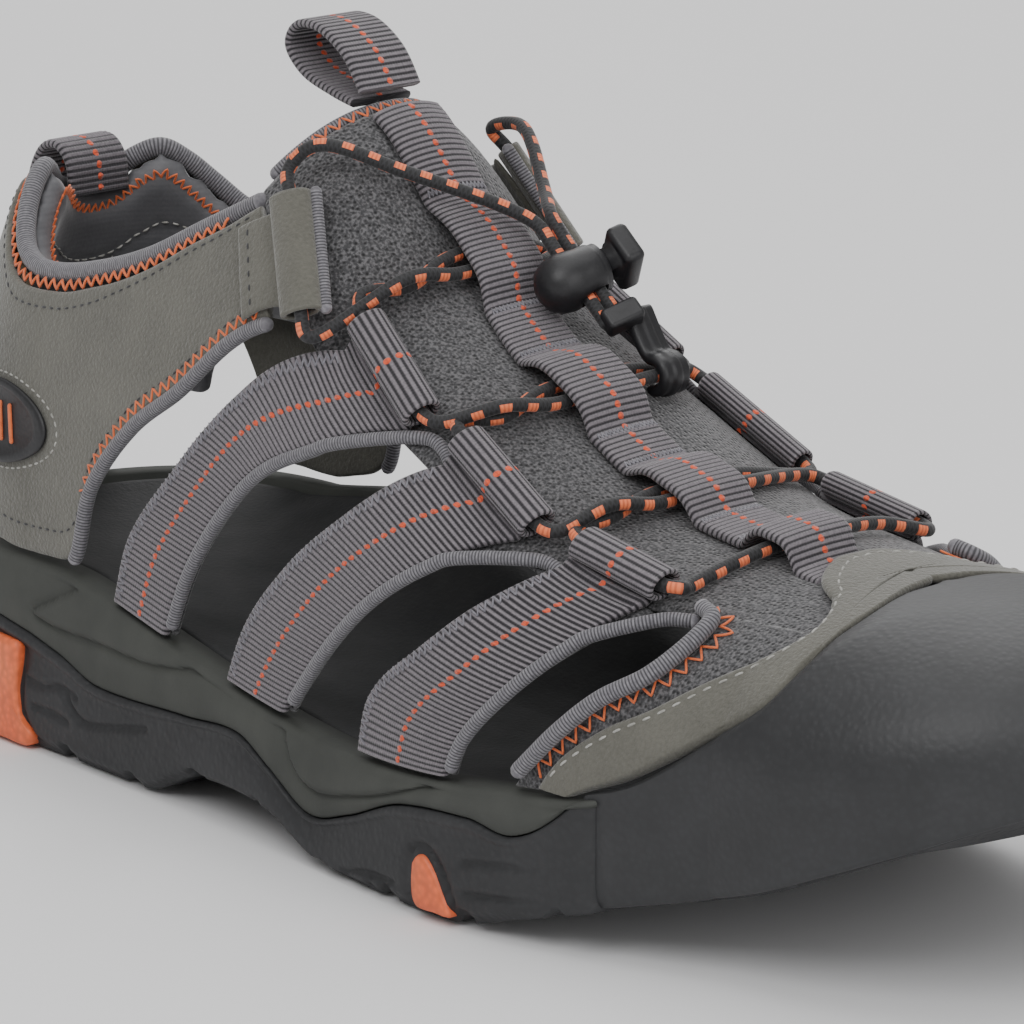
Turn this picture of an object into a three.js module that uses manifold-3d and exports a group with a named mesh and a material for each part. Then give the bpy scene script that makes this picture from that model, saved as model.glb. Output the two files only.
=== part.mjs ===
// A right-foot sport sandal: rubber and foam sole, webbing side straps, mesh tongue, padded heel band,
// and an elastic lace with a spring cord lock. Millimetres: +X to the toe, -Y to the outer side, +Z up.
import * as THREE from "three";
import { mergeVertices } from "three/addons/utils/BufferGeometryUtils.js";
import Module from "manifold-3d";

const wasm = await Module();
wasm.setup();

// ---- driving dimensions, mm ----
const heelCentre = -100; // x where the heel's rounded end begins
const toeCentre = 88; // x where the toe's rounded end begins
const heelReach = 42; // from the heel centre to the back of the upper
const toeReach = 55; // from the toe centre to the front of the upper
const soleEdge = 4.2; // how far the sole stands out past the upper
const gap = 0.3; // clearance between touching pieces
const shellThickness = 1.2; // mesh and backing
const webThickness = 1.7; // webbing
const nubuckThickness = 1.6;
const laceRadius = 1.25;
const loopInner = 2.1; // inside radius of a webbing lace loop
const loopWall = 1.0;
const pipeRadius = 1.5;
const keeperRise = 4.2; // how far a centre keeper stands up off the mesh

// Side profiles: [x, value] along the foot.
const outerEdge = [[-100, -35], [-85, -36], [-50, -39], [-10, -44], [25, -49], [45, -49], [60, -47], [88, -39]];
const innerEdge = [[-100, 35], [-70, 36], [-35, 36], [0, 40], [35, 47.5], [60, 49.3], [88, 45.5]];
const outerRim = [[-100, 36], [-85, 35], [-53, 29], [-20, 24], [10, 23], [45, 26], [65, 28], [88, 34]];
const innerRim = [[-100, 38], [-75, 41], [-40, 38], [0, 31], [30, 28], [60, 28], [88, 33]];
const ridgeHeight = [[-100, 128], [-60, 127], [-38, 123], [-17, 99], [13, 80.5], [40, 66.5], [70, 61.5], [88, 60]];
const fullness = [[-100, 2], [-40, 2.1], [0, 2.5], [40, 2.3], [88, 2.2]];
const heelRimHeight = 37;
const toeRimHeight = 47;
const toeTipSide = 8; // the toe's tip lies this far to the inner side
const ridgeLean = 4; // how far the ridge moves to the inner side by the toe

// Underside: [x, height] of the tread edge and of the line where midsole meets outsole.
const treadLine = [[-147, 9], [-128, 0], [-62, 0], [-46, 6], [-20, 5.5], [-2, 0], [36, 0], [52, 4], [67, 8], [85, 12.5],
  [98, 16.5], [111, 22], [123, 27.5], [132, 32], [147, 39]];
const bondLine = [[-147, 26], [-111, 24], [-90, 20], [-77, 16.5], [-48, 17.5], [-31, 18.5], [-21, 14.5], [-8, 9],
  [5, 12], [21, 18], [40, 20], [57, 18], [67, 19.5], [85, 24], [111, 33], [132, 41], [147, 45]];

const clamp = (value, low, high) => Math.min(high, Math.max(low, value));
const mix = (a, b, t) => a + (b - a) * t;

// A smooth curve through a profile's points: each point's slope joins its two neighbours.
function along(profile, x) {
  const last = profile.length - 1;
  const at = clamp(x, profile[0][0], profile[last][0]);
  let i = 0;
  while (i < last - 1 && at > profile[i + 1][0]) i += 1;
  const slope = (k) => {
    const a = profile[Math.max(0, k - 1)];
    const b = profile[Math.min(last, k + 1)];
    return (b[1] - a[1]) / (b[0] - a[0]);
  };
  const [x0, y0] = profile[i];
  const [x1, y1] = profile[i + 1];
  const span = x1 - x0;
  const t = (at - x0) / span;
  const rise = y0 * (1 + 2 * t) * (1 - t) ** 2 + y1 * t * t * (3 - 2 * t);
  return rise + span * (slope(i) * t * (1 - t) ** 2 + slope(i + 1) * t * t * (t - 1));
}

// The way round the foot: 0 is the centre back, 1 the start of the straight side, sideEnd its end and tipWay the
// toe's tip. Negative is the outer side.
const sideEnd = 1 + (toeCentre - heelCentre) / 100;
const tipWay = sideEnd + 1;
const wayAt = (x, side) => side * (1 + (x - heelCentre) / 100);

// The upper's foot line at one way round, with the point on the ridge that its section rises to.
function footLine(way) {
  const a = Math.abs(way);
  const spineX = a <= 1 ? heelCentre : Math.min(toeCentre, heelCentre + (a - 1) * 100);
  const sideY = along(way < 0 ? outerEdge : innerEdge, spineX);
  const rimZ = along(way < 0 ? outerRim : innerRim, spineX);
  const foot = { x: spineX, y: sideY, z: rimZ, spineX };
  if (a <= 1) {
    const turn = (Math.PI / 2) * a;
    foot.x = heelCentre - heelReach * Math.cos(turn) ** 0.9;
    foot.y = sideY * Math.sin(turn) ** 0.9;
    foot.z = mix(heelRimHeight, rimZ, Math.sin(turn) ** 2);
  } else if (a > sideEnd) {
    const turn = (Math.PI / 2) * Math.min(1, a - sideEnd);
    foot.x = toeCentre + toeReach * Math.sin(turn) ** 0.95;
    foot.y = mix(toeTipSide, sideY, Math.abs(Math.cos(turn)) ** 0.85);
    foot.z = mix(rimZ, toeRimHeight, Math.sin(turn) ** 1.6);
  }
  return foot;
}

// A point of the foot's surface: up runs from 0 at the sole to 1 on the ridge, on a rounded section.
function skin(way, up) {
  const foot = footLine(way);
  const power = 2 / along(fullness, foot.spineX);
  const angle = (Math.PI / 2) * clamp(up, 1e-5, 1);
  const out = Math.abs(Math.cos(angle)) ** power;
  const rise = Math.sin(angle) ** power;
  const ridgeY = (ridgeLean * (foot.spineX - heelCentre)) / (toeCentre - heelCentre);
  return new THREE.Vector3(
    mix(foot.spineX, foot.x, out),
    mix(ridgeY, foot.y, out),
    mix(foot.z, along(ridgeHeight, foot.spineX), rise),
  );
}

// The same point moved out along the surface's normal.
function onFoot(way, up, lift = 0) {
  const step = 1e-3;
  const held = clamp(up, 2 * step, 1 - 2 * step);
  const round = skin(way + step, held).sub(skin(way - step, held));
  const rise = skin(way, held + step).sub(skin(way, held - step));
  const normal = rise.cross(round).normalize();
  return skin(way, up).addScaledVector(normal, lift);
}

// Over the ridge: across runs from -1 at the outer foot line to 1 at the inner one.
const overFoot = (x, across, lift) => onFoot(wayAt(x, across < 0 ? -1 : 1), 1 - Math.abs(across), lift);

// ---- solids ----
function solidFrom(points, faces) {
  let geometry = new THREE.BufferGeometry();
  geometry.setAttribute("position", new THREE.Float32BufferAttribute(points.flatMap((p) => [p.x, p.y, p.z]), 3));
  geometry.setIndex(faces.flat());
  geometry = mergeVertices(geometry, 1e-4);
  const place = geometry.attributes.position;
  const index = [...geometry.index.array];
  const kept = [];
  let volume = 0;
  for (let i = 0; i < index.length; i += 3) {
    const [a, b, c] = index.slice(i, i + 3);
    if (a === b || b === c || c === a) continue;
    kept.push([a, b, c]);
    const corner = [a, b, c].map((k) => new THREE.Vector3().fromBufferAttribute(place, k));
    volume += corner[0].dot(corner[1].cross(corner[2]));
  }
  geometry.setIndex(kept.map((face) => (volume < 0 ? [face[0], face[2], face[1]] : face)).flat());
  return geometry;
}

// A sheet with thickness: spot(a, b, lift) gives its points for a and b from 0 to 1.
function sheet(spot, low, high, alongCells, acrossCells) {
  const points = [];
  for (const lift of [low, high]) {
    for (let i = 0; i <= alongCells; i += 1) {
      for (let j = 0; j <= acrossCells; j += 1) points.push(spot(i / alongCells, j / acrossCells, lift));
    }
  }
  const row = acrossCells + 1;
  const layer = row * (alongCells + 1);
  const faces = [];
  const quad = (a, b, c, d) => faces.push([a, b, c], [a, c, d]);
  for (let i = 0; i < alongCells; i += 1) {
    for (let j = 0; j < acrossCells; j += 1) {
      const k = i * row + j;
      quad(k, k + 1, k + row + 1, k + row);
      quad(layer + k, layer + k + row, layer + k + row + 1, layer + k + 1);
    }
    const start = i * row;
    const end = start + acrossCells;
    quad(start, start + row, layer + start + row, layer + start);
    quad(end, layer + end, layer + end + row, end + row);
  }
  for (let j = 0; j < acrossCells; j += 1) {
    const last = alongCells * row + j;
    quad(j, layer + j, layer + j + 1, j + 1);
    quad(last, last + 1, layer + last + 1, layer + last);
  }
  return solidFrom(points, faces);
}

// Closed rings of equal count, joined one to the next, with the first and last rings closed onto themselves.
function rings(list, closeEnds) {
  const count = list[0].length;
  const points = list.flat();
  const faces = [];
  for (let r = 0; r < list.length - 1; r += 1) {
    for (let i = 0; i < count; i += 1) {
      const a = r * count + i;
      const b = r * count + ((i + 1) % count);
      faces.push([a, b, b + count], [a, b + count, a + count]);
    }
  }
  if (closeEnds) {
    for (const [start, flip] of [[0, true], [(list.length - 1) * count, false]]) {
      for (let i = 1; i < count - 1; i += 1) {
        faces.push(flip ? [start, start + i + 1, start + i] : [start, start + i, start + i + 1]);
      }
    }
  }
  return solidFrom(points, faces);
}

// A round cord or piping through the given points.
function cord(points, radius, sides, steps) {
  const ring = new THREE.Shape();
  for (let i = 0; i < sides; i += 1) {
    const angle = (2 * Math.PI * i) / sides;
    const spot = [radius * Math.cos(angle), radius * Math.sin(angle)];
    if (i === 0) ring.moveTo(...spot);
    else ring.lineTo(...spot);
  }
  ring.closePath();
  const route = new THREE.CatmullRomCurve3(points, false, "centripetal");
  return new THREE.ExtrudeGeometry(ring, { steps, extrudePath: route, bevelEnabled: false });
}

// A hollow tube with a round hole along a straight line from a to b.
function sleeve(a, b, inner, outer, sides) {
  const axis = b.clone().sub(a).normalize();
  const side = new THREE.Vector3(0, 0, 1).cross(axis).normalize();
  const up = axis.clone().cross(side);
  const ring = (centre, radius) => {
    const spots = [];
    for (let i = 0; i < sides; i += 1) {
      const angle = (2 * Math.PI * (i + 0.5)) / sides;
      spots.push(centre.clone().addScaledVector(side, radius * Math.cos(angle))
        .addScaledVector(up, radius * Math.sin(angle)));
    }
    return spots;
  };
  return rings([ring(a, inner), ring(b, inner), ring(b, outer), ring(a, outer), ring(a, inner)], false);
}

// ---- booleans ----
function toManifold(geometry) {
  const bare = geometry.clone();
  bare.deleteAttribute("normal");
  bare.deleteAttribute("uv");
  const merged = mergeVertices(bare, 1e-4);
  return new wasm.Manifold(new wasm.Mesh({
    numProp: 3,
    vertProperties: new Float32Array(merged.attributes.position.array),
    triVerts: new Uint32Array(merged.index.array),
  }));
}

function fromManifold(solid) {
  const mesh = solid.getMesh();
  const geometry = new THREE.BufferGeometry();
  geometry.setAttribute("position", new THREE.BufferAttribute(new Float32Array(mesh.vertProperties), 3));
  geometry.setIndex([...mesh.triVerts]);
  return geometry;
}

const join = (...geometries) => fromManifold(geometries.map(toManifold).reduce((a, b) => a.add(b)));
const cut = (body, ...tools) => fromManifold(tools.map(toManifold).reduce((a, b) => a.subtract(b), toManifold(body)));
const meet = (a, b) => fromManifold(toManifold(a).intersect(toManifold(b)));

// ---- materials: colour, roughness, metalness ----
const finishes = {
  rubber: ["#26282a", 0.62, 0], toeRubber: ["#2b2d2f", 0.48, 0], orangeRubber: ["#f0703a", 0.55, 0],
  foam: ["#4b4d4e", 0.8, 0], footbed: ["#3c3d3d", 0.85, 0], board: ["#8b7d68", 0.9, 0],
  mesh: ["#4a4a4d", 0.95, 0], nubuck: ["#77756c", 0.9, 0], lining: ["#6a6b70", 0.7, 0],
  webbing: ["#6f6b72", 0.85, 0], binding: ["#85848a", 0.8, 0], lace: ["#1c1c1e", 0.8, 0],
  plastic: ["#1d1e20", 0.45, 0], steel: ["#b8bcc0", 0.3, 1], badge: ["#1a1a1c", 0.6, 0],
};
const group = new THREE.Group();
function add(name, geometry, finish) {
  const [color, roughness, metalness] = finishes[finish];
  const clean = geometry.clone();
  clean.deleteAttribute("normal");
  clean.deleteAttribute("uv");
  clean.computeVertexNormals();
  const mesh = new THREE.Mesh(clean, new THREE.MeshStandardMaterial({ color, roughness, metalness }));
  mesh.name = name;
  group.add(mesh);
}

// ---- sole ----
const capStart = 2.64; // way of the toe cap's side seam
const capRoom = 4.3; // the sole is this much narrower behind the toe cap
const soleStations = 96;
const soleWays = [capStart - 0.06, capStart - 0.01].flatMap((way) => [-way, way]);
for (let i = 0; i < soleStations; i += 1) soleWays.push(mix(-tipWay, tipWay, i / soleStations));
soleWays.sort((a, b) => a - b);

// The plan outline moved out by edge, square to the upper's foot line.
function planPoint(way, edge, height) {
  const step = 0.01;
  const a = footLine(Math.max(-tipWay, way - step));
  const b = footLine(Math.min(tipWay, way + step));
  const foot = footLine(way);
  const length = Math.hypot(b.x - a.x, b.y - a.y);
  const atTip = Math.abs(way) > tipWay - step;
  const outX = atTip ? 1 : (a.y - b.y) / length;
  const outY = atTip ? 0 : (b.x - a.x) / length;
  return new THREE.Vector3(foot.x + outX * edge, foot.y + outY * edge, height);
}
const spinePoint = (way, height) => {
  const foot = footLine(way);
  return new THREE.Vector3(foot.spineX, (ridgeLean * (foot.spineX - heelCentre)) / (toeCentre - heelCentre), height);
};
const soleRing = (fullEdge, height) => soleWays.map((way) => {
  const edge = Math.abs(way) > capStart - 0.02 ? Math.min(fullEdge, fullEdge - capRoom * (fullEdge > 0)) : fullEdge;
  const rough = planPoint(way, edge, 0);
  return planPoint(way, edge, height(rough.x, way));
});
const spineRing = (height) => soleWays.map((way) => spinePoint(way, height(spinePoint(way, 0).x, way)));

const tread = (x) => Math.max(0, along(treadLine, x));
const bond = (x) => along(bondLine, x);
const rim = (x, way) => footLine(way).z;
const soleGap = 0.4; // between the outsole and the midsole
const deckDrop = 9; // the footbed's recess below the rim
const foamUnderDeck = 4; // least foam between the recess and the outsole
const toeLift = 16; // how far the recess rises to the toe's tip
const deck = (x) => along(outerRim, x) - deckDrop + toeLift * clamp((x - toeCentre) / toeReach, 0, 1);
const innerBond = (x) => Math.min(bond(x), deck(x) - foamUnderDeck);
const innerTread = (x) => Math.min(tread(x), innerBond(x) - 5);
const boardTop = (x) => deck(x) + 2;

const flare = 1.2; // the outsole's lower edge past the midsole
const outsoleBody = rings([
  spineRing((x) => innerTread(x)),
  soleRing(-12, (x) => innerTread(x)),
  soleRing(soleEdge - 4, (x) => tread(x)),
  soleRing(soleEdge + flare, (x) => tread(x) + 3.5),
  soleRing(soleEdge + 0.2, (x) => bond(x) - soleGap),
  soleRing(-4, (x) => innerBond(x) - soleGap),
  spineRing((x) => innerBond(x) - soleGap),
], false);
// Orange blocks in the outer side of the tread: [x, y, z] of the centre, and the notch's size.
const treadBlocks = {
  heel_tread_insert: { centre: [-105, -40, 9], size: [17, 22, 22] },
  forefoot_tread_insert: { centre: [31, -52, 5], size: [12.6, 18, 11.6] },
};
const notches = Object.values(treadBlocks).map(({ centre, size }) => new THREE.BoxGeometry(...size).translate(...centre));
add("outsole", cut(outsoleBody, ...notches), "rubber");
for (const [name, { centre, size }] of Object.entries(treadBlocks)) {
  const fitted = new THREE.BoxGeometry(...size.map((length) => length - 0.8)).translate(...centre);
  add(name, meet(outsoleBody, fitted), "orangeRubber");
}

add("midsole", rings([
  spineRing((x) => deck(x)),
  soleRing(-4, (x) => deck(x)),
  soleRing(-3, (x, way) => rim(x, way) - gap),
  soleRing(soleEdge - 0.8, (x, way) => rim(x, way) - gap),
  soleRing(soleEdge + 1, (x, way) => mix(bond(x), rim(x, way), 0.5)),
  soleRing(soleEdge + 0.2, (x) => bond(x)),
  soleRing(-4, (x) => innerBond(x)),
  spineRing((x) => innerBond(x)),
], false), "foam");
add("insole_board", rings([
  spineRing((x) => deck(x) + gap),
  soleRing(-6, (x) => deck(x) + gap),
  soleRing(-6, (x) => boardTop(x)),
  spineRing((x) => boardTop(x)),
], false), "board");
add("footbed", rings([
  spineRing((x) => boardTop(x) + gap),
  soleRing(-5, (x) => boardTop(x) + gap),
  soleRing(-4.4, (x, way) => rim(x, way) - 1),
  soleRing(-12, (x, way) => rim(x, way) - 3),
  spineRing((x) => along(outerRim, x) - 4),
], false), "footbed");

// ---- upper ----
// A band between two edges, each a list of [x, up] on one side of the foot.
function bandSpot(side, rungs) {
  const back = rungs.map((rung) => [rung[0], rung[1]]);
  const front = rungs.map((rung) => [rung[0], rung[2]]);
  const low = rungs[0][0];
  const high = rungs[rungs.length - 1][0];
  return (a, b, lift) => {
    const up = mix(low, high, a);
    return onFoot(wayAt(mix(along(back, up), along(front, up), b), side), up, lift);
  };
}

// Each strap: rungs of [up, x of its back edge, x of its front edge].
const straps = {
  rear: [[0.005, -73, -54], [0.1, -68, -47], [0.22, -54, -34], [0.36, -37, -19], [0.57, -20, 1]],
  middle: [[0.005, -36, -15], [0.07, -31, -7], [0.18, -20, 4], [0.34, -5, 17], [0.57, 10, 31]],
  front: [[0.005, 7, 35], [0.08, 10, 38], [0.22, 22, 46], [0.38, 31, 54], [0.57, 40, 61]],
};
// The mesh between the last opening and the toe overlay.
const toeGusset = [[0.005, 48, 54], [0.048, 50.8, 58], [0.163, 57.8, 68], [0.261, 63.6, 76], [0.351, 70.6, 84],
  [0.504, 74.3, 93], [0.62, 73, 95]];
const sides = { lateral: -1, medial: 1 };
const pipeSetback = 4.4; // along x, from the webbing's cut edge to the front of the piping
const pipeLift = shellThickness + gap + 0.5 + pipeRadius; // the piping's centre above the foot
const backing = [0, shellThickness];
const webbing = [shellThickness + gap, shellThickness + gap + webThickness];

// The mesh covers the instep between the strap tops, and reaches down behind each strap to the sole.
// Edge of the mesh on either side: [x, up].
const meshEdge = [[-51, 0.62], [-30, 0.5], [0, 0.54], [40, 0.54], [64, 0.585], [71, 0.585], [75.5, 0.5], [78, 0.36],
  [84, 0.36], [92, 0.45], [99, 0.55]];
const meshFront = 99;
const tongueTop = -40; // x of the tongue's top edge on the ridge
const tongueSweep = 70; // how fast that edge falls back to the sides
const tongueEdge = (across) => tongueTop - tongueSweep * across ** 2;
const meshBody = sheet((a, b, lift) => {
  const rough = mix(-51, meshFront, a);
  const across = mix(-1, 1, b) * (1 - along(meshEdge, rough));
  const x = mix(tongueEdge(across), meshFront, a);
  return overFoot(x, across, lift);
}, ...backing, 30, 10);
const meshStrips = [];
for (const side of Object.values(sides)) {
  for (const rungs of [...Object.values(straps), toeGusset]) {
    meshStrips.push(sheet(bandSpot(side, rungs), ...backing, 8, 2));
  }
}
add("vamp_mesh", join(meshBody, ...meshStrips), "mesh");
const tongueBindingRadius = 1.4;
const tongueBindingSpots = [];
for (let i = 0; i <= 12; i += 1) {
  const across = mix(-0.33, 0.33, i / 12);
  const slant = Math.hypot(1, (2 * tongueSweep * across) / 50); // the edge's slant, with 50 mm from ridge to rim
  tongueBindingSpots.push(overFoot(tongueEdge(across) - (tongueBindingRadius + 0.5) * slant, across, 0.2));
}
add("tongue_binding", cord(tongueBindingSpots, tongueBindingRadius, 6, 24), "binding");

for (const [sideName, side] of Object.entries(sides)) {
  for (const [strapName, rungs] of Object.entries(straps)) {
    const trimmed = rungs.map(([up, back, front]) => [up, back, front - pipeSetback]);
    add(`${sideName}_${strapName}_strap`, sheet(bandSpot(side, trimmed), ...webbing, 8, 2), "webbing");
    const pipeSpots = rungs.map(([up, , front]) => onFoot(wayAt(front - 0.2, side), up * 0.94 + 0.012, pipeLift));
    add(`${sideName}_${strapName}_piping`, cord(pipeSpots, pipeRadius, 6, 8), "binding");
    const [, back, front] = rungs[rungs.length - 1];
    const loopLift = webbing[0] + loopInner + loopWall;
    const loopEnds = [[back + 1, 0.645], [front + 1, 0.615]].map(([x, up]) => onFoot(wayAt(x, side), up, loopLift));
    add(`${sideName}_${strapName}_lace_loop`, sleeve(...loopEnds, loopInner, loopInner + loopWall, 8), "webbing");
  }
}

// An edge is a list of [station, up]: station is x on the side, and runs on past the heel centre to -200 at the back.
const edgeCurve = (edge) => new THREE.SplineCurve(edge.map(([station, up]) => new THREE.Vector2(station, up)));
function panelSpot(side, lowEdge, highEdge) {
  const low = edgeCurve(lowEdge);
  const high = edgeCurve(highEdge);
  return (a, b, lift) => {
    const spot = low.getPoint(a).lerp(high.getPoint(a), b);
    return onFoot(wayAt(spot.x, side), clamp(spot.y, 0, 1), lift);
  };
}
const slingLow = [[-36, 0.46], [-46, 0.39], [-57, 0.31], [-70, 0.233], [-81, 0.133], [-86, 0.03], [-96, 0.01],
  [-110, 0.01], [-122, 0.03], [-128, 0.14], [-138, 0.22], [-155, 0.23], [-174, 0.23]];
const slingHigh = [[-47, 0.6], [-53, 0.555], [-61, 0.51], [-71, 0.45], [-80, 0.41], [-88, 0.385], [-97, 0.365],
  [-109, 0.36], [-118, 0.365], [-127, 0.385], [-140, 0.43], [-160, 0.49], [-174, 0.475]];
const nubuck = [webbing[0], webbing[0] + nubuckThickness];
const slingEndAxis = [[-39, 0.645], [-28, 0.53]]; // the folded end's lace tunnel: [x, up] top and bottom
for (const [sideName, side] of Object.entries(sides)) {
  add(`${sideName}_quarter`, sheet(panelSpot(side, slingLow, slingHigh), ...nubuck, 24, 4), "nubuck");
  const tunnelLift = nubuck[1] + gap + loopInner + loopWall;
  const tunnelEnds = slingEndAxis.map(([x, up]) => onFoot(wayAt(x, side), up, tunnelLift));
  const flap = sheet(panelSpot(side, [[-41, 0.43], [-34, 0.49]], [[-49, 0.55], [-42, 0.6]]),
    nubuck[1] + gap, nubuck[1] + gap + 1.2, 3, 3);
  const flapFront = sheet(panelSpot(side, [[-34, 0.49], [-30.5, 0.515]], [[-42, 0.6], [-40.5, 0.625]]),
    nubuck[1] + gap, nubuck[1] + gap + 1.2, 1, 3);
  add(`${sideName}_strap_end`, join(flap, flapFront, sleeve(...tunnelEnds, loopInner, loopInner + loopWall, 8)), "nubuck");
  const archSpots = slingLow.slice(0, 6).map(([x, up]) => onFoot(wayAt(x + 1.8, side), up - 0.016, pipeLift));
  add(`${sideName}_arch_binding`, cord(archSpots, pipeRadius, 6, 12), "binding");
}

const stayHalf = 0.245; // the heel stay's half width, in way
const waySheet = (ways, ups, low, high, cellsA, cellsB) => sheet(
  (a, b, lift) => onFoot(mix(...ways, a), mix(ups[0](mix(...ways, a)), ups[1](mix(...ways, a)), b), lift),
  low, high, cellsA, cellsB,
);
const notch = (way) => 0.425 + 0.05 * clamp(Math.abs(way) / stayHalf, 0, 1) ** 2;
add("heel_stay", waySheet([-stayHalf, stayHalf], [() => 0.01, notch], ...nubuck, 6, 6), "nubuck");
// The topline at one way round, from the sling's high edge and the notch at the back.
const topline = [...slingHigh].reverse().map(([x, up]) => [1 + (x - heelCentre) / 100, up]);
const toplineAt = (way) => (Math.abs(way) < stayHalf ? notch(way) : along(topline, Math.abs(way)));
const liningBottom = (way) => 0.24 + 0.13 * clamp(Math.abs(way) - 1, 0, 1);
const liningReach = 1.42;
add("collar_lining", waySheet([-liningReach, liningReach], [liningBottom, (way) => toplineAt(way) - 0.01],
  -6.5, -2.2, 28, 4), "lining");
add("heel_counter", waySheet([-0.95, 0.95], [() => 0.27, (way) => toplineAt(way) - 0.03], -1.9, -gap, 14, 3), "board");
const bindingRadius = 1.9;
const bindingSpots = [];
for (let i = 0; i <= 24; i += 1) {
  const way = mix(-1.5, 1.5, i / 24);
  bindingSpots.push(onFoot(way, toplineAt(way) + 0.03, 0.4));
}
add("collar_binding", cord(bindingSpots, bindingRadius, 6, 40), "binding");

// ---- toe ----
// Pairs of [x, across] on the outer side's inner and outer edges; the inner side mirrors them.
const windowEdge = [[54.5, 0.985], [59, 0.9], [66.5, 0.81], [75.1, 0.734], [87.9, 0.554], [95.7, 0.398], [94, 0.3],
  [88.7, 0.25], [81, 0.17], [75.5, 0.06], [75, 0]];
const capEdge = [[61, 0.995], [64.5, 0.968], [71.5, 0.925], [81.5, 0.83], [94, 0.665], [99.5, 0.49], [103.6, 0.34],
  [103.2, 0.22], [98.5, 0.13], [92.5, 0.06], [89, 0.02], [89, 0]];
const gapFront = [[50.8, 0.952], [57.8, 0.837], [63.6, 0.739], [70.6, 0.649], [74.3, 0.496]]; // the last opening
function overlaySpot() {
  const mirrored = (edge) => [...edge.map(([x, v]) => new THREE.Vector2(x, -v)),
    ...[...edge].reverse().slice(1).map(([x, v]) => new THREE.Vector2(x, v))];
  const inner = new THREE.SplineCurve(mirrored(windowEdge));
  const outer = new THREE.SplineCurve(mirrored(capEdge));
  return (a, b, lift) => {
    const spot = inner.getPoint(a).lerp(outer.getPoint(a), b);
    return overFoot(spot.x, clamp(spot.y, -1, 1), lift);
  };
}
for (const [sideName, side] of Object.entries(sides)) {
  const spots = gapFront.map(([x, v]) => onFoot(wayAt(x, side), 1 - v, pipeLift));
  add(`${sideName}_toe_binding`, cord(spots, pipeRadius, 6, 10), "binding");
}

// The toe cap stands on the outsole's edge and closes over the toe: [way, up of its top edge] from the cap's side
// seam round to the tip.
const capTop = [[capStart, 0.02], [2.74, 0.07], [2.84, 0.175], [2.965, 0.356], [3.02, 0.524], [3.07, 0.68],
  [3.2, 0.85], [3.4, 0.92], [tipWay, 0.95]];
const capStand = 1.6; // the cap's inner wall past the foot line
const capWall = 2.8;
const capFoot = 1; // the cap's lower wall starts this far above the tread line
const capShare = 0.3; // share of the cap's height that is the lower wall
function capSpot(a, b, lift) {
  const turn = 2 * (tipWay - capStart) * (a - 0.5);
  const around = turn < 0 ? -tipWay - turn : tipWay - turn;
  const foot = footLine(around);
  if (b <= capShare) {
    return planPoint(around, capStand + lift, mix(tread(foot.x) + capFoot, foot.z, b / capShare));
  }
  const t = (b - capShare) / (1 - capShare);
  return onFoot(around, t * along(capTop, Math.abs(around)), mix(capStand, nubuck[0], t) + lift);
}
add("toe_cap", sheet(capSpot, 0, capWall, 32, 8), "toeRubber");
// The overlay runs on over the tip as far as the cap's top edge.
const tipPatch = sheet((a, b, lift) => {
  const turn = 2 * (tipWay - 3.02) * (a - 0.5);
  const around = turn < 0 ? -tipWay - turn : tipWay - turn;
  return onFoot(around, mix(along(capTop, Math.abs(around)) + 0.045, 0.97, b), lift);
}, ...nubuck, 16, 2);
add("toe_overlay", join(sheet(overlaySpot(), ...nubuck, 36, 3), tipPatch), "nubuck");

// ---- webbing down the centre, with raised keepers for the lace ----
const stripHalf = 7.2;
const keepers = [-17, 13, 40, 67]; // x of each keeper
const keeperHalf = 12;
const stripStart = -39;
const stripEnd = 74;
// The across value that lies sideways mm from the ridge.
function acrossFor(x, sideways) {
  const foot = footLine(wayAt(x, sideways < 0 ? -1 : 1));
  const reach = Math.abs(foot.y);
  return (Math.sign(sideways) * Math.asin((Math.abs(sideways) / reach) ** (along(fullness, x) / 2)) * 2) / Math.PI;
}
const keeperArch = (x) => Math.max(...keepers.map((centre) => {
  const t = clamp(Math.abs(x - centre) / keeperHalf, 0, 1);
  return keeperRise * (1 - t ** 4) ** 2;
}));
const stripLean = (x) => -4.5 * THREE.MathUtils.smoothstep(x, -20, 8); // the strip leans to the outer side
const overRidge = (x, sideways, lift) => overFoot(x, acrossFor(x, sideways + stripLean(x)), lift);
const stripSpot = (a, b, lift) => {
  const x = mix(stripStart, stripEnd, a);
  return overRidge(x, mix(-stripHalf, stripHalf, b), lift + keeperArch(x));
};
add("centre_strip", sheet(stripSpot, ...webbing, 54, 2), "webbing");

// ---- pull loops: a flat band along points [x, z], as wide as the webbing ----
function flatLoop(points, thickness, width, steps) {
  const route = new THREE.SplineCurve(points.map(([x, z]) => new THREE.Vector2(x, z)));
  const outer = [];
  const inner = [];
  for (let i = 0; i <= steps; i += 1) {
    const spot = route.getPoint(i / steps);
    const heading = route.getTangent(i / steps);
    const square = new THREE.Vector2(-heading.y, heading.x).multiplyScalar(thickness / 2);
    outer.push(spot.clone().add(square));
    inner.push(spot.clone().sub(square));
  }
  const band = new THREE.Shape([...outer, ...inner.reverse()]);
  const body = new THREE.ExtrudeGeometry(band, { depth: width, steps: 1, bevelEnabled: false });
  body.rotateX(Math.PI / 2);
  body.translate(0, width / 2, 0);
  return body;
}
const tongueLoop = [[-41, 128.6], [-45.5, 134.6], [-52.5, 138.6], [-59, 138.6], [-61.5, 134.5], [-57, 130],
  [-49, 127.4], [-43.5, 126.2]];
const heelLoop = [[-140.3, 84], [-139, 93], [-137.8, 100], [-134.5, 105], [-130, 105.8], [-126.6, 102.5],
  [-126, 96.6]];
add("tongue_pull_loop", flatLoop(tongueLoop, 1.6, 2 * stripHalf, 18), "webbing");
add("heel_pull_loop", flatLoop(heelLoop, 1.6, 2 * stripHalf, 14), "webbing");

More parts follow.
